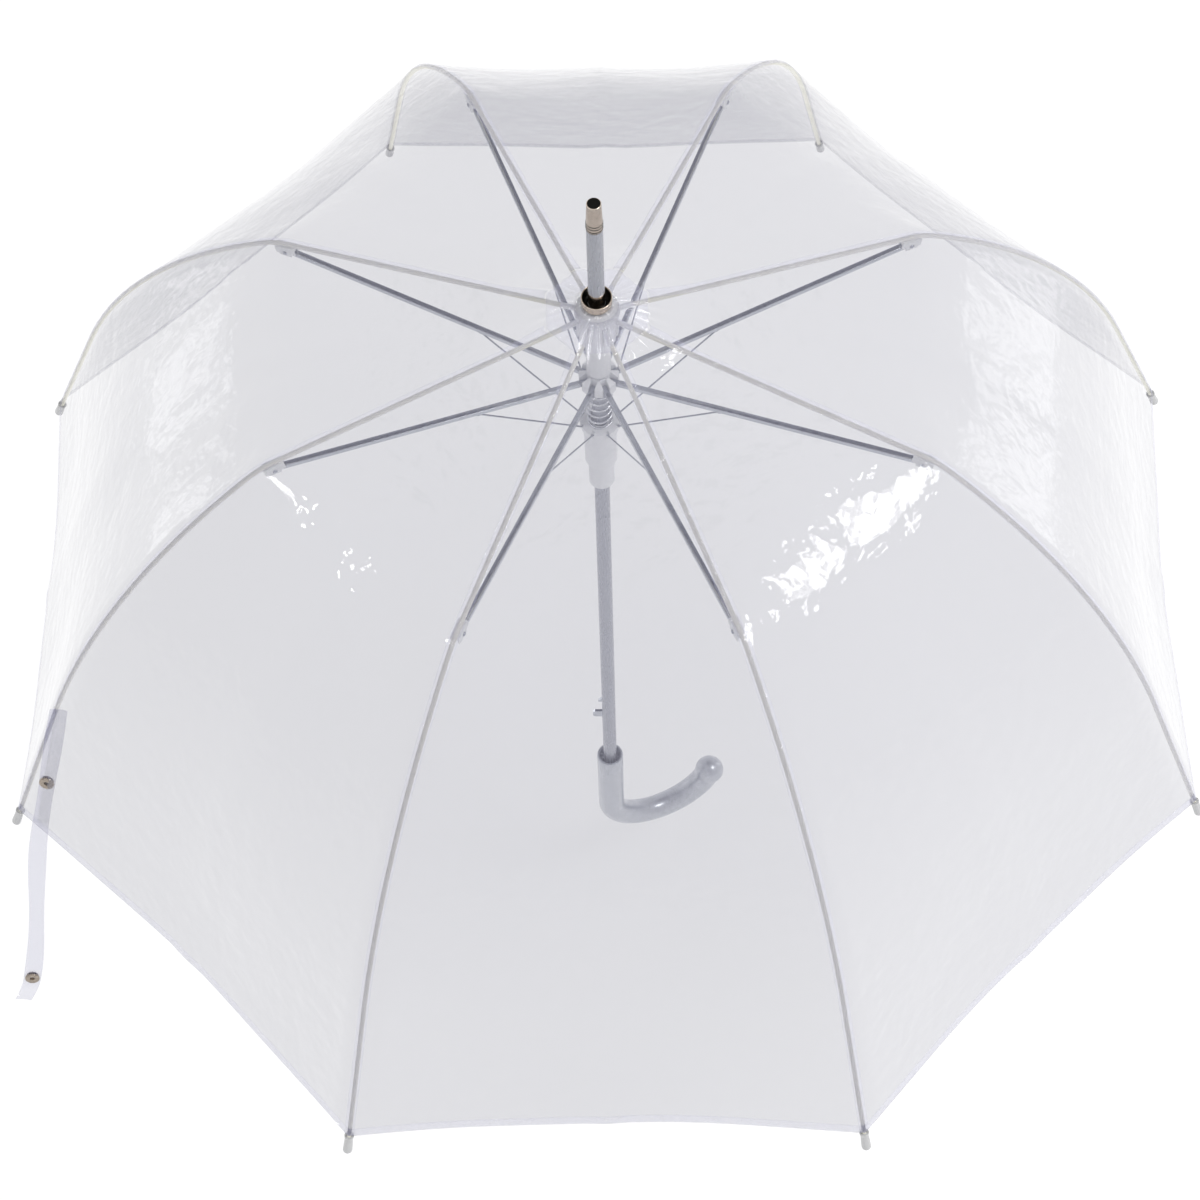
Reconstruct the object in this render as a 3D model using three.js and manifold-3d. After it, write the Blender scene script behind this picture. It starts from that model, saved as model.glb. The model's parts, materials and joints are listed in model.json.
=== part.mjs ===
// A clear dome umbrella with a crook handle and eight ribs, standing open. Millimetres, +Z up.
// The origin is on the shaft's axis in the middle of the hand grip, and +X is the way the crook turns.
// Heights below are measured from the top of the canopy and are mostly negative; the last lines lift
// the whole umbrella by gripToTop.
import * as THREE from 'three';
import Module from 'manifold-3d';
import { mergeVertices } from 'three/addons/utils/BufferGeometryUtils.js';

const wasm = await Module();
wasm.setup();

const degree = Math.PI / 180;

// Driving dimensions: overall
const ribCount = 8;
const gripToTop = 620;
const clearance = 0.4;
const slotClearance = 0.4;

// Shaft, ferrule and cup
const shaftRadius = 4.9;
const shaftWall = 0.8;
const shaftAboveCanopy = 73.4;
const ferruleLength = 22.6;
const ferruleTipRadius = 4.3;
const ferrulePlugLength = 12;
const cupReach = 4.35;
const cupHeight = 6.6;
const cupWall = 0.8;

// Linkage: the crown pivot and the hub pivot lie on one line parallel to the shaft, and the joint
// is as far from one as from the other, so the hub slides straight along the shaft
const pivotReach = 1.8;
const crownPivotDrop = 25;
const jointRadius = 206;
const jointDropFromCrownPivot = 26;

// Ribs
const rodRadius = 1.5;
const rodAboveJoint = 5.5;
const rodAboveCrownPivot = 14.2;
const kneeRadius = 40;
const kneeSlope = 33 * degree;
const bowRadius = 400;
const tipSlope = 68 * degree;
const kneeHingeReach = 10;
const bowHingeReach = 166;
const flexGap = 1.4;
const eyeThickness = 2.2;
const clipWidth = 5.8;
const clipLength = 13;

// Canopy film
const filmThickness = 0.4;
const hemReach = 372;
const filmSag = 0.018;
const hemRise = 4;
const filmTouchRadius = 62;

// Rib tips
const tipRadius = 3;
const tipLength = 16.5;
const tipBoreDepth = 12;

// Stretchers and wires
const channelWidth = 3.2;
const channelHeight = 3.4;
const channelWall = 0.6;
const channelOverhang = 1.2;
const wireRadius = 0.6;
const wirePinReach = 69;
const wirePinDrop = 2.8;
const wireLength = 85.5;
const ringPivotReach = 2.5;

// Crown, hub, spring and runner
const boreClearance = 0.4;
const sleeveWall = 1.5;
const crownFlangeReach = 4.5;
const crownFinReach = 3.5;
const crownHeadroom = 1.1;
const crownSleeveLength = 43;
const crownSleeveWall = 2.2;
const hubReach = 3.2;
const hubAbovePivot = 6.8;
const hubBelowPivot = 5;
const springReach = 2.7;
const springWireRadius = 0.6;
const springTurns = 7;
const ringWall = 1.1;
const ringAbovePivot = 2;
const ringBelowPivot = 3;
const runnerNeckWall = 3.1;
const runnerBodyWall = 4.95;
const runnerBodyTop = 6;
const runnerBodyLength = 36;
const runnerTailWall = 2.95;
const runnerTailTop = 48;
const runnerLength = 67.6;
const latchNotchHeight = 17.5;

// Latch
const latchAngle = 157.5 * degree;
const latchTop = 488;
const latchLength = 33;
const latchThickness = 1.8;
const latchToothStandout = 2.5;
const latchProngStandout = 6.6;

// Crook handle
const handleTop = 582;
const handleWall = 3.95;
const handleMouthGap = 2.5;
const handleMouthDepth = 12;
const handleBendStart = 661;
const crookRadius = 42;
const crookTurn = 164 * degree;
const crookBallSwell = 0.95;
const shaftIntoHandle = 70;

// Closing strap and its press stud
const strapSpoke = 4;
const strapReach = 252;
const strapWidth = 12;
const strapLength = 300;
const strapThickness = 0.5;
const strapInset = 8;
const strapOffset = 4.5;
const strapTwist = 69 * degree;
const strapSwing = 7.63 * degree;
const strapLean = 18.73 * degree;
const studRadius = 4.3;
const studThickness = 3;
const studDrop = 276;

// Worked-out places
const shaftBore = shaftRadius - shaftWall;
const slideBore = shaftRadius + boreClearance;
const slotFloor = slideBore + sleeveWall;
const cupRadius = shaftRadius + cupReach;
const pivotRadius = slotFloor + slotClearance + pivotReach;
const ringPivotRadius = pivotRadius + ringPivotReach;
const crownFlangeRadius = pivotRadius + crownFlangeReach;
const crownFinRadius = pivotRadius + crownFinReach;
const crownSleeveRadius = slideBore + crownSleeveWall;
const hubRadius = pivotRadius + hubReach;
const springRadius = shaftRadius + springReach;
const ringRadius = ringPivotRadius + ringWall;
const runnerNeckRadius = slideBore + runnerNeckWall;
const runnerBodyRadius = slideBore + runnerBodyWall;
const runnerTailRadius = slideBore + runnerTailWall;
const latchToothReach = shaftRadius + latchToothStandout;
const latchProngReach = shaftRadius + latchProngStandout;
const handleRadius = slideBore + handleWall;
const handleMouthRadius = shaftRadius + handleMouthGap;
const crookBallRadius = handleRadius + crookBallSwell;
const crownPivotZ = -crownPivotDrop;
const jointZ = crownPivotZ - jointDropFromCrownPivot;
const hubPivotZ = jointZ - jointDropFromCrownPivot;
const jointLineZ = jointZ + rodAboveJoint;
const rootFall = rodAboveCrownPivot + jointDropFromCrownPivot - rodAboveJoint;
const rootSlope = Math.atan2(rootFall, jointRadius - pivotRadius);
const stretcherReach = Math.hypot(jointRadius - pivotRadius, jointDropFromCrownPivot);
const stretcherSlope = Math.atan2(jointDropFromCrownPivot, jointRadius - pivotRadius);
const along = (reach, drop) => new THREE.Vector2(
  pivotRadius + reach * Math.cos(stretcherSlope) + drop * Math.sin(stretcherSlope),
  hubPivotZ + reach * Math.sin(stretcherSlope) - drop * Math.cos(stretcherSlope));
const wirePin = along(wirePinReach, wirePinDrop);
const ringPivotZ = wirePin.y - Math.sqrt(wireLength ** 2 - (wirePin.x - ringPivotRadius) ** 2);

// Materials
const finish = (color, roughness, metalness) =>
  new THREE.MeshStandardMaterial({ color, roughness, metalness });
const materials = {
  tube: finish(0xc9ccd0, 0.35, 0.6),
  nickel: finish(0xb9b6aa, 0.2, 1),
  steel: finish(0x8f9396, 0.3, 1),
  white: finish(0xe9e9e4, 0.4, 0),
  glassfibre: finish(0xe4e3d6, 0.45, 0),
  silver: finish(0xb4b7bb, 0.22, 0.7),
  film: finish(0xe3e4ea, 0.12, 0),
};

// Booleans
function toSolid(geometry) {
  const bare = geometry.clone();
  bare.deleteAttribute('normal');
  bare.deleteAttribute('uv');
  const merged = mergeVertices(bare, 1e-4);
  return new wasm.Manifold(new wasm.Mesh({
    numProp: 3,
    vertProperties: new Float32Array(merged.attributes.position.array),
    triVerts: new Uint32Array(merged.index.array),
  }));
}

function toGeometry(solid) {
  const mesh = solid.getMesh();
  const geometry = new THREE.BufferGeometry();
  geometry.setAttribute('position', new THREE.BufferAttribute(mesh.vertProperties, 3));
  geometry.setIndex(new THREE.BufferAttribute(mesh.triVerts, 1));
  geometry.computeVertexNormals();
  return geometry;
}

const join = (...pieces) => toGeometry(pieces.map(toSolid).reduce((all, piece) => all.add(piece)));
const cut = (piece, tools) =>
  toGeometry(tools.map(toSolid).reduce((left, tool) => left.subtract(tool), toSolid(piece)));

// Shapes
function turned(profile, segments = 24) {
  const points = [...profile, profile[0]].map(([r, z]) => new THREE.Vector2(r, z));
  return new THREE.LatheGeometry(points, segments).rotateX(Math.PI / 2);
}

function block(x0, x1, width, z0, z1) {
  return new THREE.BoxGeometry(x1 - x0, width, z1 - z0).translate((x0 + x1) / 2, 0, (z0 + z1) / 2);
}

function roundSection(radius, sides) {
  const corner = (i) => new THREE.Vector2(
    radius * Math.cos((2 * Math.PI * i) / sides), radius * Math.sin((2 * Math.PI * i) / sides));
  return new THREE.Shape(Array.from({ length: sides }, (_, i) => corner(i)));
}

class Route extends THREE.Curve {
  constructor(pointAt) {
    super();
    this.pointAt = pointAt;
  }

  getPoint(t) {
    return this.pointAt(t);
  }
}

const swept = (pointAt, radius, sides, steps) => new THREE.ExtrudeGeometry(
  roundSection(radius, sides), { steps, extrudePath: new Route(pointAt) });

function rod(from, to, radius, sides) {
  const length = Math.hypot(to.x - from.x, to.y - from.y);
  const tilt = Math.atan2(to.x - from.x, to.y - from.y);
  return new THREE.CylinderGeometry(radius, radius, length, sides)
    .rotateX(Math.PI / 2).rotateY(tilt)
    .translate((from.x + to.x) / 2, 0, (from.y + to.y) / 2);
}

// The rib's centre line in its own upright plane. reach is measured along it, outwards from the joint:
// a straight root, a short knee at the clip, a long bow and a straight end.
function ribAt(reach) {
  const at = { r: jointRadius, z: jointLineZ, slope: rootSlope };
  let left = reach;
  for (const [radius, slope] of [[kneeRadius, kneeSlope], [bowRadius, tipSlope]]) {
    const turn = Math.min(Math.max(left, 0) / radius, slope - at.slope);
    at.r += radius * (Math.sin(at.slope + turn) - Math.sin(at.slope));
    at.z -= radius * (Math.cos(at.slope) - Math.cos(at.slope + turn));
    at.slope += turn;
    left -= radius * turn;
  }
  at.r += left * Math.cos(at.slope);
  at.z -= left * Math.sin(at.slope);
  return at;
}

const rootReach = -(jointRadius - pivotRadius) / Math.cos(rootSlope);

function ribStretch(from, to, steps) {
  const pointAt = (t) => {
    const at = ribAt(from + (to - from) * t);
    return new THREE.Vector3(at.r, 0, at.z);
  };
  return swept(pointAt, rodRadius, 6, steps);
}

function ribRoot() {
  const inner = ribAt(rootReach);
  const outer = ribAt(0);
  const rootRod = rod(new THREE.Vector2(inner.r, inner.z), new THREE.Vector2(outer.r, outer.z), rodRadius, 6);
  const kneeRod = ribStretch(-1, kneeHingeReach - flexGap / 2, 3);
  const eye = block(pivotRadius - 1.2, pivotRadius + 3, eyeThickness, crownPivotZ - 1.4, inner.z + 1);
  const earGap = channelWidth + 2 * slotClearance;
  const saddle = block(-clipLength / 2, clipLength / 2, clipWidth, -rodAboveJoint - 2.2, -0.4);
  const earSlot = block(-clipLength, clipLength, earGap, -rodAboveJoint - 5, -rodRadius - 0.9);
  const clip = cut(saddle, [earSlot]).rotateY(rootSlope).translate(jointRadius, 0, jointLineZ);
  return join(clip, rootRod, kneeRod, eye);
}

// The canopy: a gored dome of one film. Its crests lie on the ribs, and each panel sags a little
// between them. Near the shaft it is round and rises to the cup.
const filmStandoff = rodRadius + clearance + filmThickness;

function crestAt(row) {
  const touch = { x: filmTouchRadius, y: jointLineZ + (jointRadius - filmTouchRadius) * Math.tan(rootSlope)
    + filmStandoff / Math.cos(rootSlope) };
  if (row.bare !== undefined) return { r: row.bare, z: 0 };
  if (row.tent !== undefined) {
    const t = row.tent;
    const start = new THREE.Vector2(cupRadius + 0.75, 0);
    const bend = new THREE.Vector2((start.x + touch.x) / 2, touch.y / 2 + 0.6);
    const curve = new THREE.QuadraticBezierCurve(start, bend, new THREE.Vector2(touch.x, touch.y));
    const point = curve.getPoint(t);
    return { r: point.x, z: point.y };
  }
  const at = ribAt(row.reach);
  return {
    r: at.r + filmStandoff * Math.sin(at.slope),
    z: at.z + filmStandoff * Math.cos(at.slope),
  };
}

function canopyRows() {
  const rows = [{ bare: slideBore }, { tent: 0 }, { tent: 0.25 }, { tent: 0.6 }];
  const touchReach = -(jointRadius - filmTouchRadius) / Math.cos(rootSlope);
  for (const share of [1, 0.5, 0]) rows.push({ reach: touchReach * share });
  const kneeLength = kneeRadius * (kneeSlope - rootSlope);
  for (const share of [0.5, 1]) rows.push({ reach: kneeLength * share });
  const bowLength = bowRadius * (tipSlope - kneeSlope);
  for (let i = 1; i <= 8; i += 1) rows.push({ reach: kneeLength + (bowLength * i) / 8 });
  const straight = hemReach - kneeLength - bowLength;
  for (let i = 1; i <= 2; i += 1) rows.push({ reach: kneeLength + bowLength + (straight * i) / 2 });
  return rows.map(crestAt);
}

function canopyPoint(crest, across, drop) {
  const panel = Math.PI / ribCount;
  const round = THREE.MathUtils.smoothstep(crest.r, cupRadius, 45);
  const chord = Math.cos(panel) / Math.cos(across * panel);
  const sag = 1 - filmSag * round * (1 - across * across);
  const r = crest.r * (1 + (chord - 1) * round) * sag;
  return { r, z: crest.z + drop * (1 - across * across) };
}

function canopyGeometry() {
  const crests = canopyRows();
  const perPanel = 4;
  const columns = ribCount * perPanel;
  const last = crests.length - 1;
  const points = [];
  for (const inside of [0, 1]) {
    for (let i = 0; i <= last; i += 1) {
      const before = crests[Math.max(i - 1, 0)];
      const after = crests[Math.min(i + 1, last)];
      const length = Math.hypot(after.r - before.r, after.z - before.z);
      const inward = { r: (after.z - before.z) / length, z: -(after.r - before.r) / length };
      for (let j = 0; j < columns; j += 1) {
        const across = 1 - (2 * (j % perPanel)) / perPanel;
        const angle = (2 * Math.PI * j) / columns;
        const at = canopyPoint(crests[i], across, i === last ? hemRise : 0);
        const r = at.r + inside * inward.r * filmThickness;
        const z = at.z + inside * inward.z * filmThickness;
        points.push(r * Math.cos(angle), r * Math.sin(angle), z);
      }
    }
  }
  const corner = (inside, i, j) => (inside * (last + 1) + i) * columns + (j % columns);
  const index = [];
  const quad = (a, b, c, d) => index.push(a, b, c, a, c, d);
  for (let j = 0; j < columns; j += 1) {
    for (let i = 0; i < last; i += 1) {
      quad(corner(0, i, j), corner(0, i + 1, j), corner(0, i + 1, j + 1), corner(0, i, j + 1));
      quad(corner(1, i, j), corner(1, i, j + 1), corner(1, i + 1, j + 1), corner(1, i + 1, j));
    }
    quad(corner(0, 0, j), corner(0, 0, j + 1), corner(1, 0, j + 1), corner(1, 0, j));
    quad(corner(0, last, j), corner(1, last, j), corner(1, last, j + 1), corner(0, last, j + 1));
  }
  const geometry = new THREE.BufferGeometry();
  geometry.setAttribute('position', new THREE.Float32BufferAttribute(points, 3));
  geometry.setIndex(index);
  geometry.computeVertexNormals();
  return geometry;
}

// Round slots, one for each rib, that leave a sleeve round the bore
function spokeSlots(width, floor, z0, z1) {
  const slot = block(floor, crownFlangeRadius + ringRadius, width, z0, z1);
  return Array.from({ length: ribCount }, (_, i) => slot.clone().rotateZ((2 * Math.PI * i) / ribCount));
}

function shaftGeometry() {
  const bottom = -handleTop - shaftIntoHandle;
  const tube = turned([[shaftBore, bottom], [shaftRadius, bottom], [shaftRadius, shaftAboveCanopy],
    [shaftBore, shaftAboveCanopy]], 20);
  const window = block(0, 2 * shaftRadius, latchThickness + 2 * slotClearance,
    -latchTop - latchLength - 0.6, -latchTop + 0.6);
  return cut(tube, [window.rotateZ(latchAngle)]);
}

function ferruleGeometry() {
  const base = shaftAboveCanopy + clearance;
  const top = base + ferruleLength;
  const plug = shaftBore - clearance;
  return turned([[0, base - ferrulePlugLength], [plug, base - ferrulePlugLength], [plug, base],
    [shaftRadius, base], [shaftRadius, base + 1.6], [shaftRadius - 0.5, base + 2.2],
    [shaftRadius, base + 2.8], [shaftRadius, base + 4.4], [shaftRadius - 0.5, base + 5],
    [shaftRadius, base + 5.6], [ferruleTipRadius, top - 1], [ferruleTipRadius - 0.8, top], [0, top]]);
}

function cupGeometry() {
  const base = clearance;
  const rim = base + cupHeight;
  return turned([[slideBore, base], [cupRadius - 1, base], [cupRadius, base + 1.2], [cupRadius, rim],
    [cupRadius - cupWall, rim], [cupRadius - cupWall, base + 1.6], [cupRadius - 1.4, base + cupWall],
    [slideBore, base + cupWall]]);
}

function crownGeometry() {
  const top = -filmThickness - clearance;
  const flange = crownPivotZ + rodAboveCrownPivot + rodRadius + crownHeadroom;
  const sleeveTop = crownPivotZ - 5;
  const bottom = crownPivotZ - crownSleeveLength;
  const body = turned([[slideBore, bottom], [crownSleeveRadius, bottom], [crownSleeveRadius, sleeveTop],
    [crownFinRadius, sleeveTop + 1.5], [crownFinRadius, flange], [crownFlangeRadius, flange],
    [crownFlangeRadius, top - 4.4], [crownFlangeRadius - 3.5, top], [slideBore, top]]);
  return cut(body, spokeSlots(2 * rodRadius + 2 * slotClearance, slotFloor, sleeveTop - 1, flange + 0.1));
}

function hubGeometry() {
  const top = hubPivotZ + hubAbovePivot;
  const bottom = hubPivotZ - hubBelowPivot;
  const body = turned([[slideBore, bottom], [hubRadius - 0.8, bottom], [hubRadius, bottom + 0.8],
    [hubRadius, top - 3], [hubRadius - 3, top - 1.4], [crownSleeveRadius, top], [slideBore, top]]);
  return cut(body, spokeSlots(channelWidth + 2 * slotClearance, slotFloor, bottom - 1, top + 1));
}

function springGeometry() {
  const top = hubPivotZ - hubBelowPivot - clearance - springWireRadius;
  const bottom = ringPivotZ + ringAbovePivot + clearance + springWireRadius;
  const pointAt = (t) => {
    const angle = 2 * Math.PI * springTurns * t;
    return new THREE.Vector3(
      springRadius * Math.cos(angle), springRadius * Math.sin(angle), bottom + (top - bottom) * t);
  };
  return swept(pointAt, springWireRadius, 5, 12 * springTurns);
}

function runnerGeometry() {
  const at = (drop) => ringPivotZ - drop;
  const body = turned([[slideBore, at(runnerLength)], [runnerTailRadius, at(runnerLength)],
    [runnerTailRadius, at(runnerTailTop)], [runnerTailRadius - 0.9, at(runnerTailTop - 2)],
    [runnerTailRadius - 0.9, at(runnerTailTop - 5)], [runnerBodyRadius, at(runnerBodyTop + runnerBodyLength)],
    [runnerBodyRadius, at(runnerBodyTop)], [runnerNeckRadius, at(runnerBodyTop - 1)],
    [runnerNeckRadius, at(ringBelowPivot + 0.8)], [ringRadius, at(ringBelowPivot)],
    [ringRadius, at(-ringAbovePivot)], [slideBore, at(-ringAbovePivot)]]);
  const notch = block(0, 2 * runnerTailRadius, latchThickness + 4 * slotClearance,
    at(runnerLength + 1), at(runnerLength - latchNotchHeight)).rotateZ(latchAngle);
  const slots = spokeSlots(2 * wireRadius + 2 * slotClearance, ringPivotRadius - 1.6,
    at(ringBelowPivot + 1.2), at(-ringAbovePivot - 1));
  return cut(body, [...slots, notch]);
}

function latchGeometry() {
  const inner = shaftBore - 2.1;
  const outer = shaftBore - 0.6;
  const outline = [[inner, 0], [outer, 0], [outer, -2], [latchToothReach, -6.5], [latchToothReach, -8],
    [outer, -8], [outer, -23], [latchProngReach - 1.5, -23], [latchProngReach, -24.5],
    [latchProngReach, -29.5], [latchProngReach - 1.5, -31], [outer, -31], [outer, -latchLength],
    [inner, -latchLength]].map(([x, z]) => new THREE.Vector2(x, z - latchTop));
  return new THREE.ExtrudeGeometry(new THREE.Shape(outline), { depth: latchThickness, bevelEnabled: false })
    .rotateX(Math.PI / 2).translate(0, latchThickness / 2, 0);
}

function handleGeometry() {
  const straight = handleBendStart - handleTop;
  const arc = crookRadius * crookTurn;
  const pointAt = (t) => {
    const run = t * (straight + arc);
    if (run <= straight) return new THREE.Vector3(0, 0, -handleTop - run);
    const turn = (run - straight) / crookRadius;
    return new THREE.Vector3(
      crookRadius * (1 - Math.cos(turn)), 0, -handleBendStart - crookRadius * Math.sin(turn));
  };
  const end = pointAt(1);
  const ball = new THREE.SphereGeometry(crookBallRadius, 16, 10).translate(end.x, end.y, end.z);
  const mouth = new THREE.CylinderGeometry(handleMouthRadius, handleMouthRadius, 2 * handleMouthDepth, 20)
    .rotateX(Math.PI / 2).translate(0, 0, -handleTop);
  const socketDepth = shaftIntoHandle + 2;
  const socket = new THREE.CylinderGeometry(slideBore, slideBore, socketDepth, 20)
    .rotateX(Math.PI / 2).translate(0, 0, -handleTop - socketDepth / 2);
  return cut(join(swept(pointAt, handleRadius, 16, 26), ball), [mouth, socket]);
}

function stretcherGeometry() {
  const w = channelWidth / 2;
  const h = channelHeight / 2;
  const outline = [[-w, h], [-w, -h], [-w + channelWall, -h], [-w + channelWall, h - channelWall],
    [w - channelWall, h - channelWall], [w - channelWall, -h], [w, -h], [w, h]];
  const shape = new THREE.Shape(outline.map(([x, y]) => new THREE.Vector2(x, y)));
  const depth = stretcherReach + 2 * channelOverhang;
  return new THREE.ExtrudeGeometry(shape, { depth, bevelEnabled: false })
    .rotateX(Math.PI / 2).rotateZ(Math.PI / 2).translate(-channelOverhang, 0, 0)
    .rotateY(-stretcherSlope).translate(pivotRadius, 0, hubPivotZ);
}

function tipGeometry() {
  const start = clearance;
  const bore = rodRadius + clearance;
  const cap = turned([[0, tipBoreDepth + 0.6], [bore, tipBoreDepth + 0.6], [bore, start],
    [tipRadius - 0.5, start], [tipRadius, start + 1], [tipRadius, tipLength - 2],
    [tipRadius - 1.2, tipLength - 0.3], [0, tipLength]], 10);
  const hem = ribAt(hemReach);
  return cap.rotateY(Math.PI / 2 + hem.slope).translate(hem.r, 0, hem.z);
}

// The strap hangs from under its rib: turned about its own length, swung sideways and leant outwards
function hungOnRib(geometry) {
  const at = ribAt(strapReach);
  return geometry.rotateZ(strapTwist).rotateX(strapSwing).rotateY(-strapLean).translate(
    at.r - strapInset * Math.sin(at.slope), strapOffset, at.z - strapInset * Math.cos(at.slope));
}

const strapGeometry = () => hungOnRib(
  block(-strapThickness / 2, strapThickness / 2, strapWidth, -strapLength, 0));

const studGeometry = () => hungOnRib(
  new THREE.CylinderGeometry(studRadius, studRadius, studThickness, 14).rotateZ(-Math.PI / 2)
    .translate(strapThickness / 2 + clearance + studThickness / 2, 0, -studDrop));

// Assembly
const umbrella = new THREE.Group();
umbrella.position.z = gripToTop;

function place(group, name, geometry, material) {
  const mesh = new THREE.Mesh(geometry, material);
  mesh.name = name;
  group.add(mesh);
  return mesh;
}

place(umbrella, 'shaft_tube', shaftGeometry(), materials.tube);
place(umbrella, 'ferrule_cap', ferruleGeometry(), materials.nickel);
place(umbrella, 'top_cup', cupGeometry(), materials.nickel);
place(umbrella, 'crown', crownGeometry(), materials.white);
place(umbrella, 'canopy', canopyGeometry(), materials.film);
place(umbrella, 'hub', hubGeometry(), materials.white);
place(umbrella, 'runner_spring', springGeometry(), materials.steel);
place(umbrella, 'runner', runnerGeometry(), materials.white);
place(umbrella, 'latch', latchGeometry(), materials.steel).rotation.z = latchAngle;
place(umbrella, 'crook_handle', handleGeometry(), materials.silver);

const repeated = {
  root: ribRoot(),
  middle: ribStretch(kneeHingeReach + flexGap / 2, bowHingeReach - flexGap / 2, 7),
  end: ribStretch(bowHingeReach + flexGap / 2, hemReach + tipBoreDepth, 7),
  tip: tipGeometry(),
  stretcher: stretcherGeometry(),
  wire: rod(wirePin, new THREE.Vector2(ringPivotRadius, ringPivotZ), wireRadius, 6),
};
for (let i = 0; i < ribCount; i += 1) {
  const spoke = new THREE.Group();
  spoke.rotation.z = (2 * Math.PI * i) / ribCount;
  umbrella.add(spoke);
  place(spoke, `rib_root_${i + 1}`, repeated.root, materials.glassfibre);
  place(spoke, `rib_middle_${i + 1}`, repeated.middle, materials.glassfibre);
  place(spoke, `rib_end_${i + 1}`, repeated.end, materials.glassfibre);
  place(spoke, `rib_tip_${i + 1}`, repeated.tip, materials.white);
  place(spoke, `stretcher_${i + 1}`, repeated.stretcher, materials.steel);
  place(spoke, `strut_wire_${i + 1}`, repeated.wire, materials.steel);
  if (i === strapSpoke) {
    place(spoke, 'closing_strap', strapGeometry(), materials.film);
    place(spoke, 'press_stud', studGeometry(), materials.nickel);
  }
}

export default umbrella;
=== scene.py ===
# %% [markdown]
# # A clear dome umbrella
# The moving frame of this umbrella is already modelled. This lesson dresses it: the soft
# vinyl canopy, the glass fibre ribs, the plated and enamelled metal, the milky plastic fittings and
# the silver crook. Sizes come from the frame's own joints and boxes, or are named beside their piece.

# %% Load the frame
import json
import math

import bpy
from mathutils import Matrix, Vector

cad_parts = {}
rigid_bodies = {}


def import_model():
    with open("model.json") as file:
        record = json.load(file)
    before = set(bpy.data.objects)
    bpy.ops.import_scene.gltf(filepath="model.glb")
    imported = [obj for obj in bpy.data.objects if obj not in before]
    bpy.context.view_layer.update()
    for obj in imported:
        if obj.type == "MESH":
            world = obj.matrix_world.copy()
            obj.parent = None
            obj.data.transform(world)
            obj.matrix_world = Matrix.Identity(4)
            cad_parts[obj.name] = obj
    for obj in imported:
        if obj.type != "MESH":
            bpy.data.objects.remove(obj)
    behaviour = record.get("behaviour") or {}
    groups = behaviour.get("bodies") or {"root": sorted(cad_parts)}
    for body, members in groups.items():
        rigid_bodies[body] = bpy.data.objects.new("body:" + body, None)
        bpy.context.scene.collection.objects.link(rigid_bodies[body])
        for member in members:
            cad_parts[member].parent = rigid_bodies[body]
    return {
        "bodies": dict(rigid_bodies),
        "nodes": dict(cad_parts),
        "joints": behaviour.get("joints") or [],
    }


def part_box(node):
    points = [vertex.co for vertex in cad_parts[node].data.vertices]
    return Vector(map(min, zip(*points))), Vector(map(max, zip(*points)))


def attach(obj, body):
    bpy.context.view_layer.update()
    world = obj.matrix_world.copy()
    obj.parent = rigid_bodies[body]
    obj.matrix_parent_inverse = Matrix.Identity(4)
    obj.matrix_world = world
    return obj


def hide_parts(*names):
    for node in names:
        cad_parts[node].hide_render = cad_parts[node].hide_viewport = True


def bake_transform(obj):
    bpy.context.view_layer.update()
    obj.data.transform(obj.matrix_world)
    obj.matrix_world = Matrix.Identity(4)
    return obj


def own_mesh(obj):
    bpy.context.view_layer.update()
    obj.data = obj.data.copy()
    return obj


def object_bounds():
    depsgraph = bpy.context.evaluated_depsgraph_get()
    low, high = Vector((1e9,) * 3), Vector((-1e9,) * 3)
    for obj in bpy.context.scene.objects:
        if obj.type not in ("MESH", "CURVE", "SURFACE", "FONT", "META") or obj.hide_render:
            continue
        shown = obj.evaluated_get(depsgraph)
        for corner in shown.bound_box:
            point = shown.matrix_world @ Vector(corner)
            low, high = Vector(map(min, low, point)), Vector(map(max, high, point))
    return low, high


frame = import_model()
CAD_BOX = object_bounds()
JOINTS = {joint["name"]: joint for joint in frame["joints"]}
MM = 0.001
RIBS = 8
TURN = 2 * math.pi / RIBS


def pivot(name):
    """Where a joint turns, as its distance from the shaft's axis and its height."""
    x, y, z = JOINTS[name]["pos_m"]
    return math.hypot(x, y), z


# %% [markdown]
# The heights and radii that the pieces share are read off the frame: the pivots of the linkage and
# the boxes of the fittings.

# %% Shared places
CROWN_R, CROWN_Z = pivot("fold")
JOINT_R, JOINT_Z = pivot("rib_joint_1")
HUB_R, HUB_Z = pivot("hub_pivot")
PIN_R, PIN_Z = pivot("wire_pivot_1")
TOP_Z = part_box("canopy")[1].z
RING_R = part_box("strut_wire_1")[0].x + 0.4 * MM
RING_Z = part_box("strut_wire_1")[0].z + 0.4 * MM
SHAFT_R = (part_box("shaft_tube")[1].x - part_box("shaft_tube")[0].x) / 2
BORE_R = SHAFT_R + 0.4 * MM
ROD_R = 1.5 * MM
print("shaft radius", round(SHAFT_R, 4), "top", round(TOP_Z, 4))
print("ring radius", round(RING_R, 4), "height", round(RING_Z, 4))

# %% [markdown]
# A rib is one glass fibre rod. Seen from the side it runs straight from the crown to the clip, turns
# through a short knee where the stretcher pushes it, and then bows down to the hem. A small function
# gives its centre line at any distance from the clip, and most of the umbrella hangs on it.

# %% The rib's centre line
KNEE_RADIUS = 40 * MM
KNEE_SLOPE = math.radians(33)
BOW_RADIUS = 400 * MM
TIP_SLOPE = math.radians(68)
ROD_ABOVE_JOINT = 5.5 * MM
ROD_ABOVE_CROWN = 14.2 * MM
HEM_REACH = 372 * MM
ROOT_SLOPE = math.atan2(ROD_ABOVE_CROWN + CROWN_Z - JOINT_Z - ROD_ABOVE_JOINT, JOINT_R - CROWN_R)
ROOT_REACH = -(JOINT_R - CROWN_R) / math.cos(ROOT_SLOPE)


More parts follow.
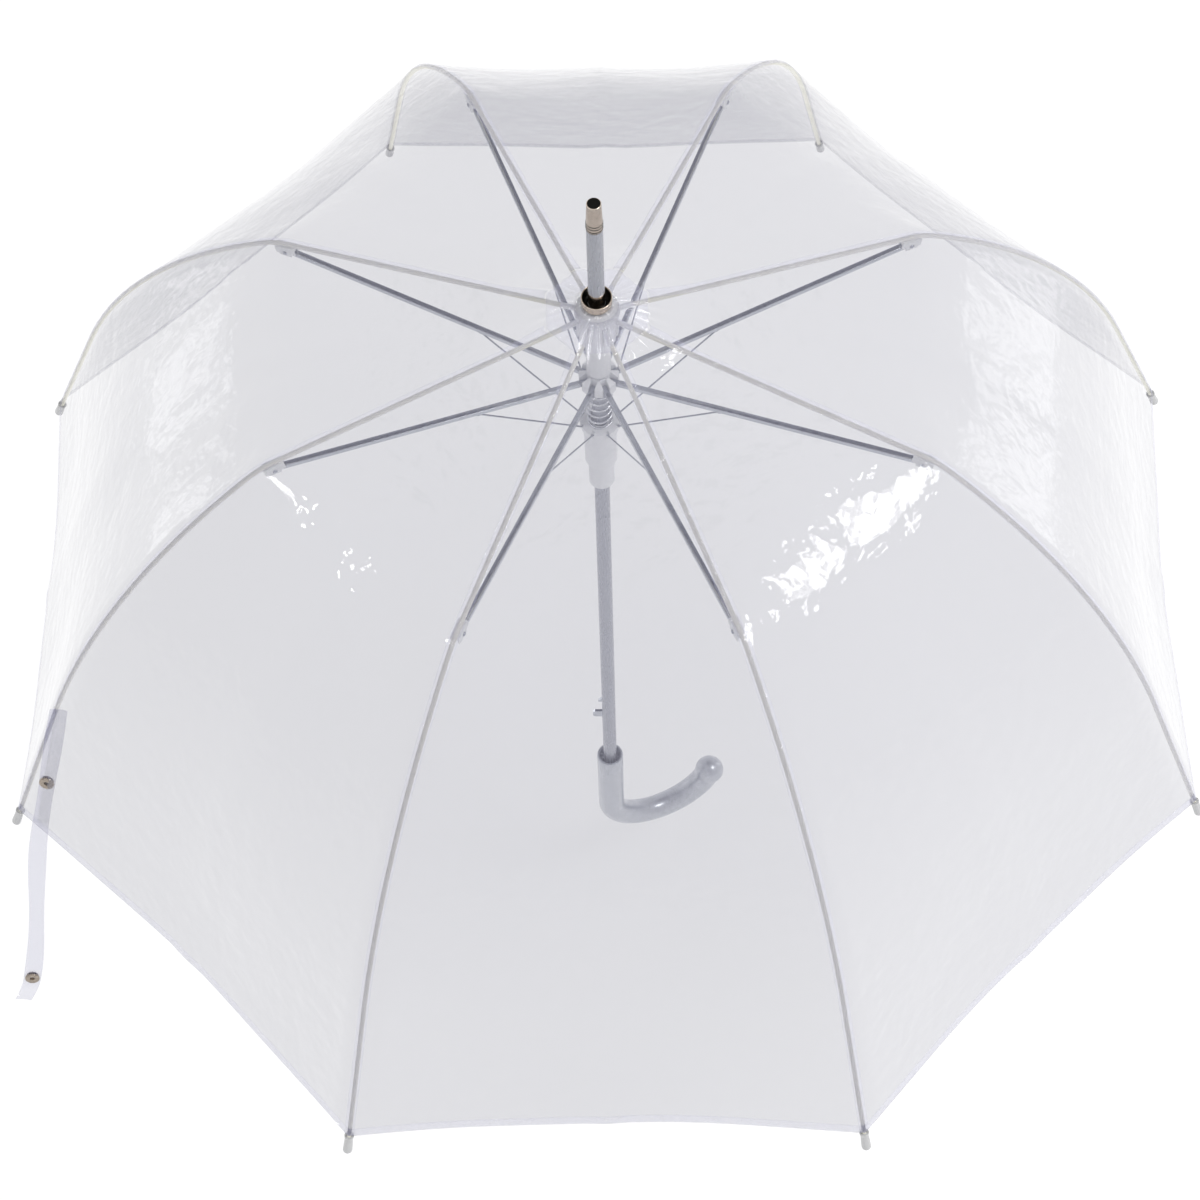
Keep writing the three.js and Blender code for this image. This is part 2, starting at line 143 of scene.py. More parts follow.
def rib_at(reach):
    """(radius, height, slope) of the rib's centre line, reach metres outwards from the clip."""
    r, z, slope, left = JOINT_R, JOINT_Z + ROD_ABOVE_JOINT, ROOT_SLOPE, reach
    for radius, end in ((KNEE_RADIUS, KNEE_SLOPE), (BOW_RADIUS, TIP_SLOPE)):
        turn = min(max(left, 0) / radius, end - slope)
        r += radius * (math.sin(slope + turn) - math.sin(slope))
        z -= radius * (math.cos(slope) - math.cos(slope + turn))
        slope += turn
        left -= radius * turn
    return r + left * math.cos(slope), z - left * math.sin(slope), slope


# %% [markdown]
# The camera looks down at the dome from the front, with the crook turning to the right. Its place,
# its three turns and its lens are plain numbers.

# %% Camera
CAMERA_PLACE = Vector((-0.3723, -0.9643, 2.0821))
CAMERA_YAW, CAMERA_DOWN, CAMERA_ROLL = (math.radians(a) for a in (69.098, 60.281, -1.889))
LENS, SENSOR = 91.6, 36
camera_data = bpy.data.cameras.new("camera")
camera_data.lens = LENS
camera_data.sensor_width = SENSOR
camera = bpy.data.objects.new("camera", camera_data)
bpy.context.scene.collection.objects.link(camera)
looking = Vector((
    math.cos(CAMERA_DOWN) * math.cos(CAMERA_YAW),
    math.cos(CAMERA_DOWN) * math.sin(CAMERA_YAW),
    -math.sin(CAMERA_DOWN)))
level = Vector((math.sin(CAMERA_YAW), -math.cos(CAMERA_YAW), 0))
upright = level.cross(looking)
right = level * math.cos(CAMERA_ROLL) + upright * math.sin(CAMERA_ROLL)
up = upright * math.cos(CAMERA_ROLL) - level * math.sin(CAMERA_ROLL)
facing = Matrix((right, up, -looking)).transposed().to_4x4()
camera.matrix_world = Matrix.Translation(CAMERA_PLACE) @ facing
bpy.context.scene.camera = camera
print("camera lens", LENS, "mm")

# %% [markdown]
# Clear film shows itself by what it reflects, so the studio has a bright even surround and a few
# softboxes: a tall bank on each side for the long bands on the flanks, and two windows in front. A
# dark card overhead gives the metal its dark edges. The floor is plain and pale.

# %% Floor, surround and lights
FLOOR_DROP = 0.08
bpy.ops.object.select_all(action="DESELECT")
bpy.ops.mesh.primitive_plane_add(size=30, location=(0, 0, CAD_BOX[0].z - FLOOR_DROP))
floor = bpy.context.active_object
floor.name = "floor"
paper = bpy.data.materials.new("pale_paper")
paper.use_nodes = True
paper_shader = paper.node_tree.nodes["Principled BSDF"]
paper_shader.inputs["Base Color"].default_value = (0.3, 0.3, 0.3, 1)
paper_shader.inputs["Roughness"].default_value = 0.9
paper_shader.inputs["Emission Color"].default_value = (1, 1, 1, 1)
paper_shader.inputs["Emission Strength"].default_value = 0.74
floor.data.materials.append(paper)

surround = bpy.data.worlds.new("surround")
surround.use_nodes = True
surround.node_tree.nodes["Background"].inputs["Color"].default_value = (0.98, 0.98, 1, 1)
surround.node_tree.nodes["Background"].inputs["Strength"].default_value = 0.9
bpy.context.scene.world = surround
bpy.context.scene.view_settings.view_transform = "Standard"
print("floor height", round(floor.location.z, 4))


# %% Softboxes and card
def softbox(name, place, aim, width, height, power):
    data = bpy.data.lights.new(name, "AREA")
    data.shape, data.size, data.size_y, data.energy = "RECTANGLE", width, height, power
    lamp = bpy.data.objects.new(name, data)
    lamp.location = place
    lamp.rotation_euler = (Vector(aim) - Vector(place)).to_track_quat("-Z", "Y").to_euler()
    bpy.context.scene.collection.objects.link(lamp)


CENTRE = (0, 0, 0.4)
softbox("left_window", (-1.35, -0.05, 2.25), CENTRE, 0.19, 0.22, 4)
softbox("right_window", (1.09, -0.95, 2.46), CENTRE, 0.88, 0.8, 27)
softbox("left_bank", (-1.45, 1.75, 0.1), CENTRE, 0.22, 1.3, 1.6)
softbox("right_bank", (2.1, 0.3, 0.1), CENTRE, 0.28, 1.3, 1.8)

bpy.ops.mesh.primitive_plane_add(size=1.7, location=(0.5, 1.3, 2.9))
ceiling = bpy.context.active_object
ceiling.name = "dark_ceiling_card"
card = bpy.data.materials.new("dark_card")
card.use_nodes = True
card.node_tree.nodes["Principled BSDF"].inputs["Base Color"].default_value = (0.03, 0.03, 0.03, 1)
card.node_tree.nodes["Principled BSDF"].inputs["Roughness"].default_value = 0.9
ceiling.data.materials.append(card)
print("lights:", len(bpy.data.lights))

# %% [markdown]
# ## Helpers
# Lathe-turned pieces start as one vertex that is extruded along the outline and spun round the
# shaft. Rods and wires are curves with a round bevel. What repeats round the shaft is made once and
# copied, each copy with a mesh of its own.


# %% Making helpers
def fresh():
    if bpy.context.object and bpy.context.object.mode != "OBJECT":
        bpy.ops.object.mode_set(mode="OBJECT")
    bpy.ops.object.select_all(action="DESELECT")


def chosen(piece):
    fresh()
    piece.select_set(True)
    bpy.context.view_layer.objects.active = piece


def settle(piece):
    """Puts the piece's place into its mesh, so that its object sits at the origin."""
    chosen(piece)
    bpy.ops.object.transform_apply(location=True, rotation=True, scale=True)
    return piece


def applied(piece, kind, **settings):
    chosen(piece)
    modifier = piece.modifiers.new(kind.lower(), kind)
    for key, value in settings.items():
        setattr(modifier, key, value)
    bpy.ops.object.modifier_apply(modifier=modifier.name)
    return piece


def turned(name, outline, steps=64, closed=True):
    """Spins an outline of (radius, height) points round the Z axis."""
    fresh()
    bpy.ops.mesh.primitive_plane_add(size=0.001, location=(0, 0, 0))
    piece = bpy.context.active_object
    piece.name = piece.data.name = name
    bpy.ops.object.mode_set(mode="EDIT")
    bpy.ops.mesh.select_all(action="SELECT")
    bpy.ops.mesh.merge(type="CENTER")
    bpy.ops.transform.translate(value=(outline[0][0], 0, outline[0][1]))
    stops = list(outline) + ([outline[0]] if closed else [])
    for (r0, z0), (r1, z1) in zip(stops, stops[1:]):
        bpy.ops.mesh.extrude_region_move(TRANSFORM_OT_translate={"value": (r1 - r0, 0, z1 - z0)})
    bpy.ops.mesh.select_all(action="SELECT")
    bpy.ops.mesh.remove_doubles(threshold=1e-6)
    bpy.ops.mesh.spin(steps=steps, angle=2 * math.pi, center=(0, 0, 0), axis=(0, 0, 1))
    bpy.ops.mesh.select_all(action="SELECT")
    bpy.ops.mesh.remove_doubles(threshold=1e-6)
    bpy.ops.mesh.normals_make_consistent(inside=False)
    bpy.ops.object.mode_set(mode="OBJECT")
    return piece


def swept(name, points, radius, sides=4, cyclic=False, radii=None):
    """A round rod along points, with 2 * sides + 4 faces round it."""
    data = bpy.data.curves.new(name, "CURVE")
    data.dimensions = "3D"
    data.bevel_depth, data.bevel_resolution, data.use_fill_caps = radius, sides, True
    spline = data.splines.new("POLY")
    spline.points.add(len(points) - 1)
    for i, point in enumerate(points):
        spline.points[i].co = (*point, 1)
        spline.points[i].radius = radii[i] if radii else 1
    spline.use_cyclic_u = cyclic
    piece = bpy.data.objects.new(name, data)
    bpy.context.scene.collection.objects.link(piece)
    chosen(piece)
    bpy.ops.object.convert(target="MESH")
    piece = bpy.context.active_object
    bpy.ops.object.mode_set(mode="EDIT")
    bpy.ops.mesh.select_all(action="SELECT")
    bpy.ops.mesh.remove_doubles(threshold=1e-6)
    bpy.ops.mesh.normals_make_consistent(inside=False)
    bpy.ops.object.mode_set(mode="OBJECT")
    return piece


def block(name, size, place, turn=0.0, tilt=0.0):
    fresh()
    bpy.ops.mesh.primitive_cube_add(size=1, location=place, rotation=(0, tilt, turn), scale=size)
    piece = bpy.context.active_object
    piece.name = name
    return settle(piece)


def combined(piece, tool, how):
    applied(piece, "BOOLEAN", operation=how, solver="EXACT", object=tool)
    bpy.data.objects.remove(tool)
    return piece


def softened(piece, width, angle=35, segments=2):
    applied(piece, "BEVEL", width=width, segments=segments, limit_method="ANGLE",
            angle_limit=math.radians(angle), use_clamp_overlap=True)
    return piece


def smooth(piece, angle=40):
    chosen(piece)
    bpy.ops.object.shade_smooth_by_angle(angle=math.radians(angle))
    return piece


def copy_round(piece, name, i):
    twin = piece.copy()
    twin.data = piece.data.copy()
    twin.name = twin.data.name = f"{name}_{i + 1}"
    twin.data.transform(Matrix.Rotation(TURN * i, 4, "Z"))
    bpy.context.scene.collection.objects.link(twin)
    return twin


def dressed(piece, material, body=None, stands_for=()):
    """Gives a finished piece its material and body, and hides the nodes that it replaces."""
    piece.data.materials.clear()
    piece.data.materials.append(material)
    if body:
        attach(piece, body)
    if stands_for:
        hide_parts(*stands_for)
    return piece


# %% [markdown]
# ## Finishes
# Each finish is one Principled shader with nodes that break up its colour, gloss and surface at the
# scale of the real thing.


# %% Material helpers
def finish(name, colour, roughness, metallic=0.0, **sockets):
    material = bpy.data.materials.new(name)
    material.use_nodes = True
    shader = material.node_tree.nodes["Principled BSDF"]
    shader.inputs["Base Color"].default_value = (*colour, 1)
    shader.inputs["Roughness"].default_value = roughness
    shader.inputs["Metallic"].default_value = metallic
    for key, value in sockets.items():
        shader.inputs[key.replace("_", " ")].default_value = value
    return material, material.node_tree, shader


def noise(tree, scale, detail=3.0, stretch=(1, 1, 1)):
    """A noise pattern on the piece's own coordinates, in metres; scale is waves per metre."""
    coordinates = tree.nodes.new("ShaderNodeTexCoord")
    mapping = tree.nodes.new("ShaderNodeMapping")
    mapping.inputs["Scale"].default_value = stretch
    pattern = tree.nodes.new("ShaderNodeTexNoise")
    pattern.inputs["Scale"].default_value = scale
    pattern.inputs["Detail"].default_value = detail
    tree.links.new(coordinates.outputs["Object"], mapping.inputs["Vector"])
    tree.links.new(mapping.outputs["Vector"], pattern.inputs["Vector"])
    return pattern.outputs["Fac"]


def ramp(tree, source, low, high, start=0.3, stop=0.7):
    band = tree.nodes.new("ShaderNodeMapRange")
    band.inputs["From Min"].default_value, band.inputs["From Max"].default_value = start, stop
    band.inputs["To Min"].default_value, band.inputs["To Max"].default_value = low, high
    tree.links.new(source, band.inputs["Value"])
    return band.outputs["Result"]


def tinted(tree, shader, source, low, high):
    mix = tree.nodes.new("ShaderNodeMix")
    mix.data_type = "RGBA"
    mix.inputs["A"].default_value, mix.inputs["B"].default_value = (*low, 1), (*high, 1)
    tree.links.new(source, mix.inputs["Factor"])
    tree.links.new(mix.outputs["Result"], shader.inputs["Base Color"])


def bumped(tree, shader, source, strength, distance):
    bump = tree.nodes.new("ShaderNodeBump")
    bump.inputs["Strength"].default_value = strength
    bump.inputs["Distance"].default_value = distance
    tree.links.new(source, bump.inputs["Height"])
    tree.links.new(bump.outputs["Normal"], shader.inputs["Normal"])


# %% [markdown]
# The metals: warm bright nickel on the ferrule and cup, rolled steel on the channels with streaks
# along their length, and a pale mottled enamel on the shaft.


# %% Metals
def nickel_plate():
    material, tree, shader = finish("nickel_plate", (0.56, 0.48, 0.4), 0.16, 1.0)
    tree.links.new(ramp(tree, noise(tree, 350), 0.1, 0.24), shader.inputs["Roughness"])
    tinted(tree, shader, noise(tree, 90), (0.5, 0.42, 0.35), (0.64, 0.56, 0.47))
    bumped(tree, shader, noise(tree, 2500), 0.1, 0.00003)
    return material


def worn_nickel():
    material, tree, shader = finish("worn_nickel", (0.3, 0.26, 0.22), 0.2, 1.0)
    tree.links.new(ramp(tree, noise(tree, 700), 0.12, 0.34), shader.inputs["Roughness"])
    tinted(tree, shader, noise(tree, 500), (0.16, 0.14, 0.12), (0.5, 0.43, 0.36))
    bumped(tree, shader, noise(tree, 1200), 0.2, 0.00005)
    return material


# A black finish for the ferrule's end disc and the cup's lining; in the ferrule's grooves the same
# black is painted shade.
def black_nickel_and_painted_shade():
    material, tree, shader = finish("black_nickel_and_painted_shade", (0.02, 0.018, 0.016), 0.12, 0.6)
    tree.links.new(ramp(tree, noise(tree, 500), 0.08, 0.2), shader.inputs["Roughness"])
    bumped(tree, shader, noise(tree, 1500), 0.1, 0.00003)
    return material


def rolled_steel(name, dull, bright):
    material, tree, shader = finish(name, bright, 0.2, 1.0)
    streak = noise(tree, 260, 3)
    tree.links.new(ramp(tree, streak, 0.12, 0.26), shader.inputs["Roughness"])
    tinted(tree, shader, noise(tree, 70), dull, bright)
    bumped(tree, shader, streak, 0.08, 0.00005)
    return material


def mottled_enamel():
    material, tree, shader = finish("mottled_enamel", (0.36, 0.37, 0.39), 0.3, 0.6)
    streak = noise(tree, 300, 4, (1, 1, 0.12))
    tree.links.new(ramp(tree, streak, 0.2, 0.36), shader.inputs["Roughness"])
    tinted(tree, shader, streak, (0.36, 0.37, 0.4), (0.43, 0.44, 0.47))
    bumped(tree, shader, noise(tree, 500), 0.03, 0.00004)
    return material


def silver_lacquer():
    material, tree, shader = finish("silver_lacquer", (0.5, 0.52, 0.54), 0.24, 0.6, Coat_Weight=0.7)
    shader.inputs["Coat Roughness"].default_value = 0.06
    flake = noise(tree, 2600, 2)
    tinted(tree, shader, noise(tree, 140, 4), (0.42, 0.44, 0.47), (0.62, 0.64, 0.67))
    tree.links.new(ramp(tree, flake, 0.2, 0.36), shader.inputs["Roughness"])
    bumped(tree, shader, noise(tree, 160, 4), 0.25, 0.0004)
    return material


# %% [markdown]
# The plastics: milky fittings that glow a little where light enters them, and the drawn glass fibre
# of the ribs with its faint lengthwise grain.


# %% Plastics
def milky_plastic(name, tone):
    material, tree, shader = finish(name, (tone, tone, tone), 0.25)
    shader.inputs["Subsurface Weight"].default_value = 0.25
    shader.inputs["Subsurface Radius"].default_value = (0.004, 0.004, 0.004)
    shader.inputs["Subsurface Scale"].default_value = 0.5
    cool, warm = (0.96 * tone, 0.97 * tone, 0.98 * tone), (tone, tone, 0.99 * tone)
    tinted(tree, shader, noise(tree, 200), cool, warm)
    tree.links.new(ramp(tree, noise(tree, 900), 0.22, 0.42), shader.inputs["Roughness"])
    bumped(tree, shader, noise(tree, 700), 0.15, 0.0001)
    return material


def glass_fibre():
    material, tree, shader = finish("glass_fibre", (0.76, 0.76, 0.66), 0.38)
    grain = noise(tree, 1400, 3)
    tinted(tree, shader, noise(tree, 60), (0.9, 0.88, 0.72), (0.97, 0.95, 0.84))
    tree.links.new(ramp(tree, grain, 0.28, 0.5), shader.inputs["Roughness"])
    bumped(tree, shader, grain, 0.25, 0.00008)
    return material


# %% [markdown]
# The film is soft clear vinyl. Most of it lets the light straight through, so its alpha is low, and
# its alpha changes where it is seen edge on. A slow ripple and a fine crinkle in the bump break the
# softboxes into the ragged patches that thin vinyl shows.


# %% Clear film
def clear_film(name, shade, face_alpha, edge_alpha, ripple, crinkle):
    material, tree, shader = finish(name, (shade, shade, shade), 0.05)
    shader.inputs["Specular IOR Level"].default_value = 0.9
    shader.inputs["Coat Weight"].default_value = 0.6
    shader.inputs["Coat Roughness"].default_value = 0.02
    facing = tree.nodes.new("ShaderNodeLayerWeight")
    facing.inputs["Blend"].default_value = 0.25
    solid = ramp(tree, facing.outputs["Facing"], face_alpha, edge_alpha, 0.0, 1.0)
    tree.links.new(solid, shader.inputs["Alpha"])
    slow, fine = noise(tree, 9, 1.5), noise(tree, 70, 2.5)
    both = tree.nodes.new("ShaderNodeMath")
    both.operation = "MULTIPLY_ADD"
    both.inputs[1].default_value = crinkle
    tree.links.new(fine, both.inputs[0])
    tree.links.new(slow, both.inputs[2])
    bumped(tree, shader, both.outputs["Value"], ripple, 0.012)
    deep, light = (0.72 * shade, 0.72 * shade, 0.93 * shade), (0.78 * shade, 0.78 * shade, shade)
    tinted(tree, shader, noise(tree, 6, 2), deep, light)
    return material


# %% The finishes used
NICKEL, WORN_NICKEL, BLACK_NICKEL_AND_PAINTED_SHADE = nickel_plate(), worn_nickel(), black_nickel_and_painted_shade()
STEEL = rolled_steel("rolled_steel", (0.4, 0.42, 0.46), (0.6, 0.62, 0.65))
SPRING_STEEL = rolled_steel("spring_steel", (0.78, 0.79, 0.81), (0.94, 0.95, 0.96))
ENAMEL, LACQUER = mottled_enamel(), silver_lacquer()
# Painted shade: the rib tips are the same white milky plastic as the fittings, darkened to tone 0.5 for
# the shade they show.
PLASTIC, SHADED_TIP_PLASTIC = milky_plastic("milky_plastic", 0.93), milky_plastic("tip_plastic_painted_shade", 0.5)
FIBRE = glass_fibre()
FILM = clear_film("clear_film", 0.29, 0.25, 0.16, 0.4, 0.36)
WELDED_FILM = clear_film("welded_film", 0.85, 0.06, 0.3, 0.7, 0.9)
print("finishes:", len(bpy.data.materials))

# %% [markdown]
# ## Shaft and metal cap
# The shaft is a rolled and enamelled steel tube. It is turned as a thin wall, and a narrow window is
# cut in it near the handle, because the latch springs out through that slot.

# %% Shaft tube
shaft_low, shaft_high = (corner.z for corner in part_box("shaft_tube"))
LATCH_TURN = math.radians(157.5)
latch_low, latch_high = (corner.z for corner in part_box("latch"))
TUBE_BORE = SHAFT_R - 0.8 * MM
shaft = turned("shaft", [
    (TUBE_BORE, shaft_low), (SHAFT_R, shaft_low), (SHAFT_R, shaft_high), (TUBE_BORE, shaft_high)], 48)
window_z = (latch_low + latch_high) / 2
window_at = Matrix.Rotation(LATCH_TURN, 4, "Z") @ Vector((SHAFT_R, 0, window_z))
WINDOW = (6 * MM, 2.6 * MM, latch_high - latch_low + 1.2 * MM)
combined(shaft, block("window", WINDOW, window_at, LATCH_TURN), "DIFFERENCE")
dressed(smooth(shaft), ENAMEL, "root", ["shaft_tube"])
print("shaft:", len(shaft.data.polygons), "faces")

# %% [markdown]
# The ferrule is a plated cap with a rounded end and three grooves, where the real one is rolled
# on to the tube. It is turned in one outline, so the grooves are real cuts, and a black ring lies in
# each one as painted shade, to darken the groove.


# %% Ferrule
def arc(r, z, radius, start, stop, steps=5):
    """A round corner centred at (r, z), in degrees from outwards, upwards positive."""
    angles = [math.radians(start + (stop - start) * i / steps) for i in range(steps + 1)]
    return [(r + radius * math.cos(a), z + radius * math.sin(a)) for a in angles]


ferrule_low, ferrule_high = (corner.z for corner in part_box("ferrule_cap"))
FERRULE_Z = shaft_high + 0.4 * MM
TIP_R = 4.3 * MM
GROOVES = (1.2 * MM, 3.6 * MM, 6.0 * MM)
GROOVE_R = SHAFT_R - 0.6 * MM
outline = [(0.0, ferrule_low), (3.7 * MM, ferrule_low), (3.7 * MM, FERRULE_Z)]
outline += [(SHAFT_R - 0.2 * MM, FERRULE_Z), (SHAFT_R, FERRULE_Z + 0.2 * MM)]
for z in GROOVES:
    outline += [(SHAFT_R, FERRULE_Z + z - 0.5 * MM), (GROOVE_R, FERRULE_Z + z - 0.2 * MM)]
    outline += [(GROOVE_R, FERRULE_Z + z + 0.2 * MM), (SHAFT_R, FERRULE_Z + z + 0.5 * MM)]
outline += arc(TIP_R - 0.5 * MM, ferrule_high - 0.6 * MM, 0.5 * MM, 0, 90)
outline += [(0.0, ferrule_high - 0.1 * MM)]
ferrule = smooth(turned("ferrule", outline, 48, closed=False), 30)
dressed(ferrule, NICKEL, "root", ["ferrule_cap"])
fresh()
bpy.ops.mesh.primitive_cylinder_add(
    vertices=40, radius=TIP_R - 0.55 * MM, depth=0.1 * MM, location=(0, 0, ferrule_high + 0.1 * MM))
end_disc = settle(bpy.context.active_object)
dressed(smooth(end_disc), BLACK_NICKEL_AND_PAINTED_SHADE, "root").name = "ferrule_end_disc"
# Painted shade: a black ring in each cut groove stands in for the shade that falls in it.
for i, z in enumerate(GROOVES):
    fresh()
    bpy.ops.mesh.primitive_torus_add(
        location=(0, 0, FERRULE_Z + z), major_radius=SHAFT_R - 0.3 * MM, minor_radius=0.5 * MM,
        major_segments=48, minor_segments=8)
    ring = settle(bpy.context.active_object)
    ring.name = f"ferrule_groove_shade_{i + 1}"
    dressed(smooth(ring), BLACK_NICKEL_AND_PAINTED_SHADE, "root")
print("ferrule top", round(ferrule_high, 4))

# %% [markdown]
# The cup is a thin pressed bowl that pinches the film. It is turned with a rolled rim, has a dark
# lining, and a plated sleeve closes the gap round the shaft.

# %% Cup
cup_low, cup_high = (corner.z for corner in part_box("top_cup"))
CUP_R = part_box("top_cup")[1].x
CUP_WALL = 0.7 * MM
outline = [(BORE_R, cup_low)] + arc(CUP_R - 1.6 * MM, cup_low + 1.6 * MM, 1.6 * MM, -90, 0)
outline += arc(CUP_R - CUP_WALL / 2, cup_high - CUP_WALL / 2, CUP_WALL / 2, 0, 180)
outline += arc(CUP_R - 1.7 * MM, cup_low + 1.7 * MM, 1.0 * MM, 0, -90)
outline += [(BORE_R, cup_low + CUP_WALL)]
dressed(smooth(turned("cup", outline), 40), NICKEL, "root", ["top_cup"])
LINING_R = CUP_R - CUP_WALL - 0.05 * MM
outline = [(BORE_R, cup_low + 1.0 * MM), (LINING_R - 1.2 * MM, cup_low + 1.0 * MM)]
outline += [(LINING_R, cup_low + 2.2 * MM)]
outline += [(LINING_R, cup_high - 1.0 * MM), (LINING_R - 0.25 * MM, cup_high - 1.0 * MM)]
outline += [(LINING_R - 0.25 * MM, cup_low + 2.3 * MM), (LINING_R - 1.3 * MM, cup_low + 1.25 * MM)]
outline += [(BORE_R, cup_low + 1.25 * MM)]
dressed(smooth(turned("cup_lining", outline), 40), BLACK_NICKEL_AND_PAINTED_SHADE, "root")
SLEEVE_R, SLEEVE_LOW, SLEEVE_TOP = SHAFT_R + 0.15 * MM, cup_low + 1.4 * MM, cup_high + 6 * MM
outline = [(SHAFT_R, SLEEVE_LOW), (SLEEVE_R, SLEEVE_LOW), (SLEEVE_R, SLEEVE_TOP), (SHAFT_R, SLEEVE_TOP)]
dressed(smooth(turned("cup_sleeve", outline), 40), NICKEL, "root")
print("cup radius", round(CUP_R, 4))

# %% [markdown]
# ## Crown, hub and runner
# These three moulded collars carry the linkage. The crown is fixed under the film and holds the ribs,
# the hub slides and holds the stretchers, and the runner slides below it and holds the strut wires.
# Each is turned, then slotted once for every rib, and its edges are softened as a mould does it.
# A ring of tie wire is threaded through each as the pivot.


# %% Slotted collars
def slotted(piece, width, floor, low, high):
    reach = 12 * MM
    for i in range(RIBS):
        middle = Vector((floor + reach / 2, 0, (low + high) / 2))
        place = Matrix.Rotation(TURN * i, 4, "Z") @ middle
        cutter = block("cutter", (reach, width, high - low), place, TURN * i)
        combined(piece, cutter, "DIFFERENCE")
    return piece


def tie_wire(name, radius, height, body):
    fresh()
    bpy.ops.mesh.primitive_torus_add(
        location=(0, 0, height), major_radius=radius, minor_radius=0.45 * MM,
        major_segments=64, minor_segments=10)
    wire = settle(bpy.context.active_object)
    wire.name = name
    return dressed(smooth(wire), STEEL, body)


# %% Crown
SLOT_FLOOR = BORE_R + 1.5 * MM
crown_low, crown_high = (corner.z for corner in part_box("crown"))
CROWN_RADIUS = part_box("crown")[1].x
flange_z = CROWN_Z + ROD_ABOVE_CROWN + ROD_R + 1.1 * MM
NECK_R = 7.5 * MM
outline = [(BORE_R, crown_low)] + arc(NECK_R - 0.6 * MM, crown_low + 0.6 * MM, 0.6 * MM, -90, 0)
outline += [(NECK_R, CROWN_Z - 5 * MM), (CROWN_RADIUS - 1 * MM, CROWN_Z - 3.5 * MM)]
outline += [(CROWN_RADIUS - 1 * MM, flange_z), (CROWN_RADIUS, flange_z)]
outline += [(CROWN_RADIUS, crown_high - 4.4 * MM)]
outline += [(CROWN_RADIUS - 3.5 * MM, crown_high), (BORE_R, crown_high)]
crown = turned("crown_collar", outline)
slotted(crown, 3.4 * MM, SLOT_FLOOR, CROWN_Z - 6 * MM, flange_z + 0.1 * MM)
dressed(smooth(softened(crown, 0.25 * MM)), PLASTIC, "root", ["crown"])
tie_wire("crown_tie_wire", CROWN_R, CROWN_Z, "root")
print("crown:", len(crown.data.polygons), "faces")

# %% Hub
hub_low, hub_high = (corner.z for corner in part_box("hub"))
HUB_RADIUS = HUB_R + 3.2 * MM
outline = [(BORE_R, hub_low), (HUB_RADIUS - 0.8 * MM, hub_low), (HUB_RADIUS, hub_low + 0.8 * MM)]
outline += [(HUB_RADIUS, hub_high - 3 * MM), (HUB_RADIUS - 3 * MM, hub_high - 1.4 * MM)]
outline += [(NECK_R, hub_high), (BORE_R, hub_high)]
hub = turned("hub_collar", outline)
slotted(hub, 4.0 * MM, SLOT_FLOOR, hub_low - 1 * MM, hub_high + 1 * MM)
dressed(smooth(softened(hub, 0.22 * MM)), PLASTIC, "hub", ["hub"])
tie_wire("hub_tie_wire", HUB_R, HUB_Z, "hub")
print("hub:", len(hub.data.polygons), "faces")

# %% Runner
runner_low, runner_high = (corner.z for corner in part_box("runner"))
RUNNER_RING_R = RING_R + 1.1 * MM
BODY_R, TAIL_R = BORE_R + 4.95 * MM, BORE_R + 2.95 * MM
WAIST_R = 8.4 * MM
ring_low = RING_Z - 3 * MM
outline = [(BORE_R, runner_low)] + arc(TAIL_R - 0.8 * MM, runner_low + 0.8 * MM, 0.8 * MM, -90, 0)
outline += [(TAIL_R, RING_Z - 48 * MM), (TAIL_R - 0.9 * MM, RING_Z - 46 * MM)]
outline += [(TAIL_R - 0.9 * MM, RING_Z - 44.5 * MM)]
outline += arc(BODY_R - 1.2 * MM, RING_Z - 40.8 * MM, 1.2 * MM, -60, 0)
outline += arc(BODY_R - 0.8 * MM, RING_Z - 6.8 * MM, 0.8 * MM, 0, 90)
outline += [(WAIST_R, RING_Z - 5.6 * MM), (WAIST_R, ring_low - 0.8 * MM)]
outline += [(RUNNER_RING_R - 0.4 * MM, ring_low), (RUNNER_RING_R, ring_low + 0.4 * MM)]
outline += [(RUNNER_RING_R, runner_high), (BORE_R, runner_high)]
runner = turned("runner_collar", outline)
slotted(runner, 2.0 * MM, RING_R - 1.6 * MM, ring_low - 1.2 * MM, runner_high + 1 * MM)
notch_at = Matrix.Rotation(LATCH_TURN, 4, "Z") @ Vector((TAIL_R, 0, runner_low + 8.2 * MM))
notch = block("notch", (9 * MM, 3.4 * MM, 18.5 * MM), notch_at, LATCH_TURN)
combined(runner, notch, "DIFFERENCE")
dressed(smooth(softened(runner, 0.2 * MM)), PLASTIC, "runner", ["runner"])
tie_wire("ring_tie_wire", RING_R, RING_Z, "runner")
print("runner:", len(runner.data.polygons), "faces")

# %% [markdown]
# ## Opening spring
# A coil of round steel wire pushes the hub and the runner apart. Its end turns lie flat, as on any
# ground spring. It rides on the hub as made and is not squashed as the runner comes up on closing.

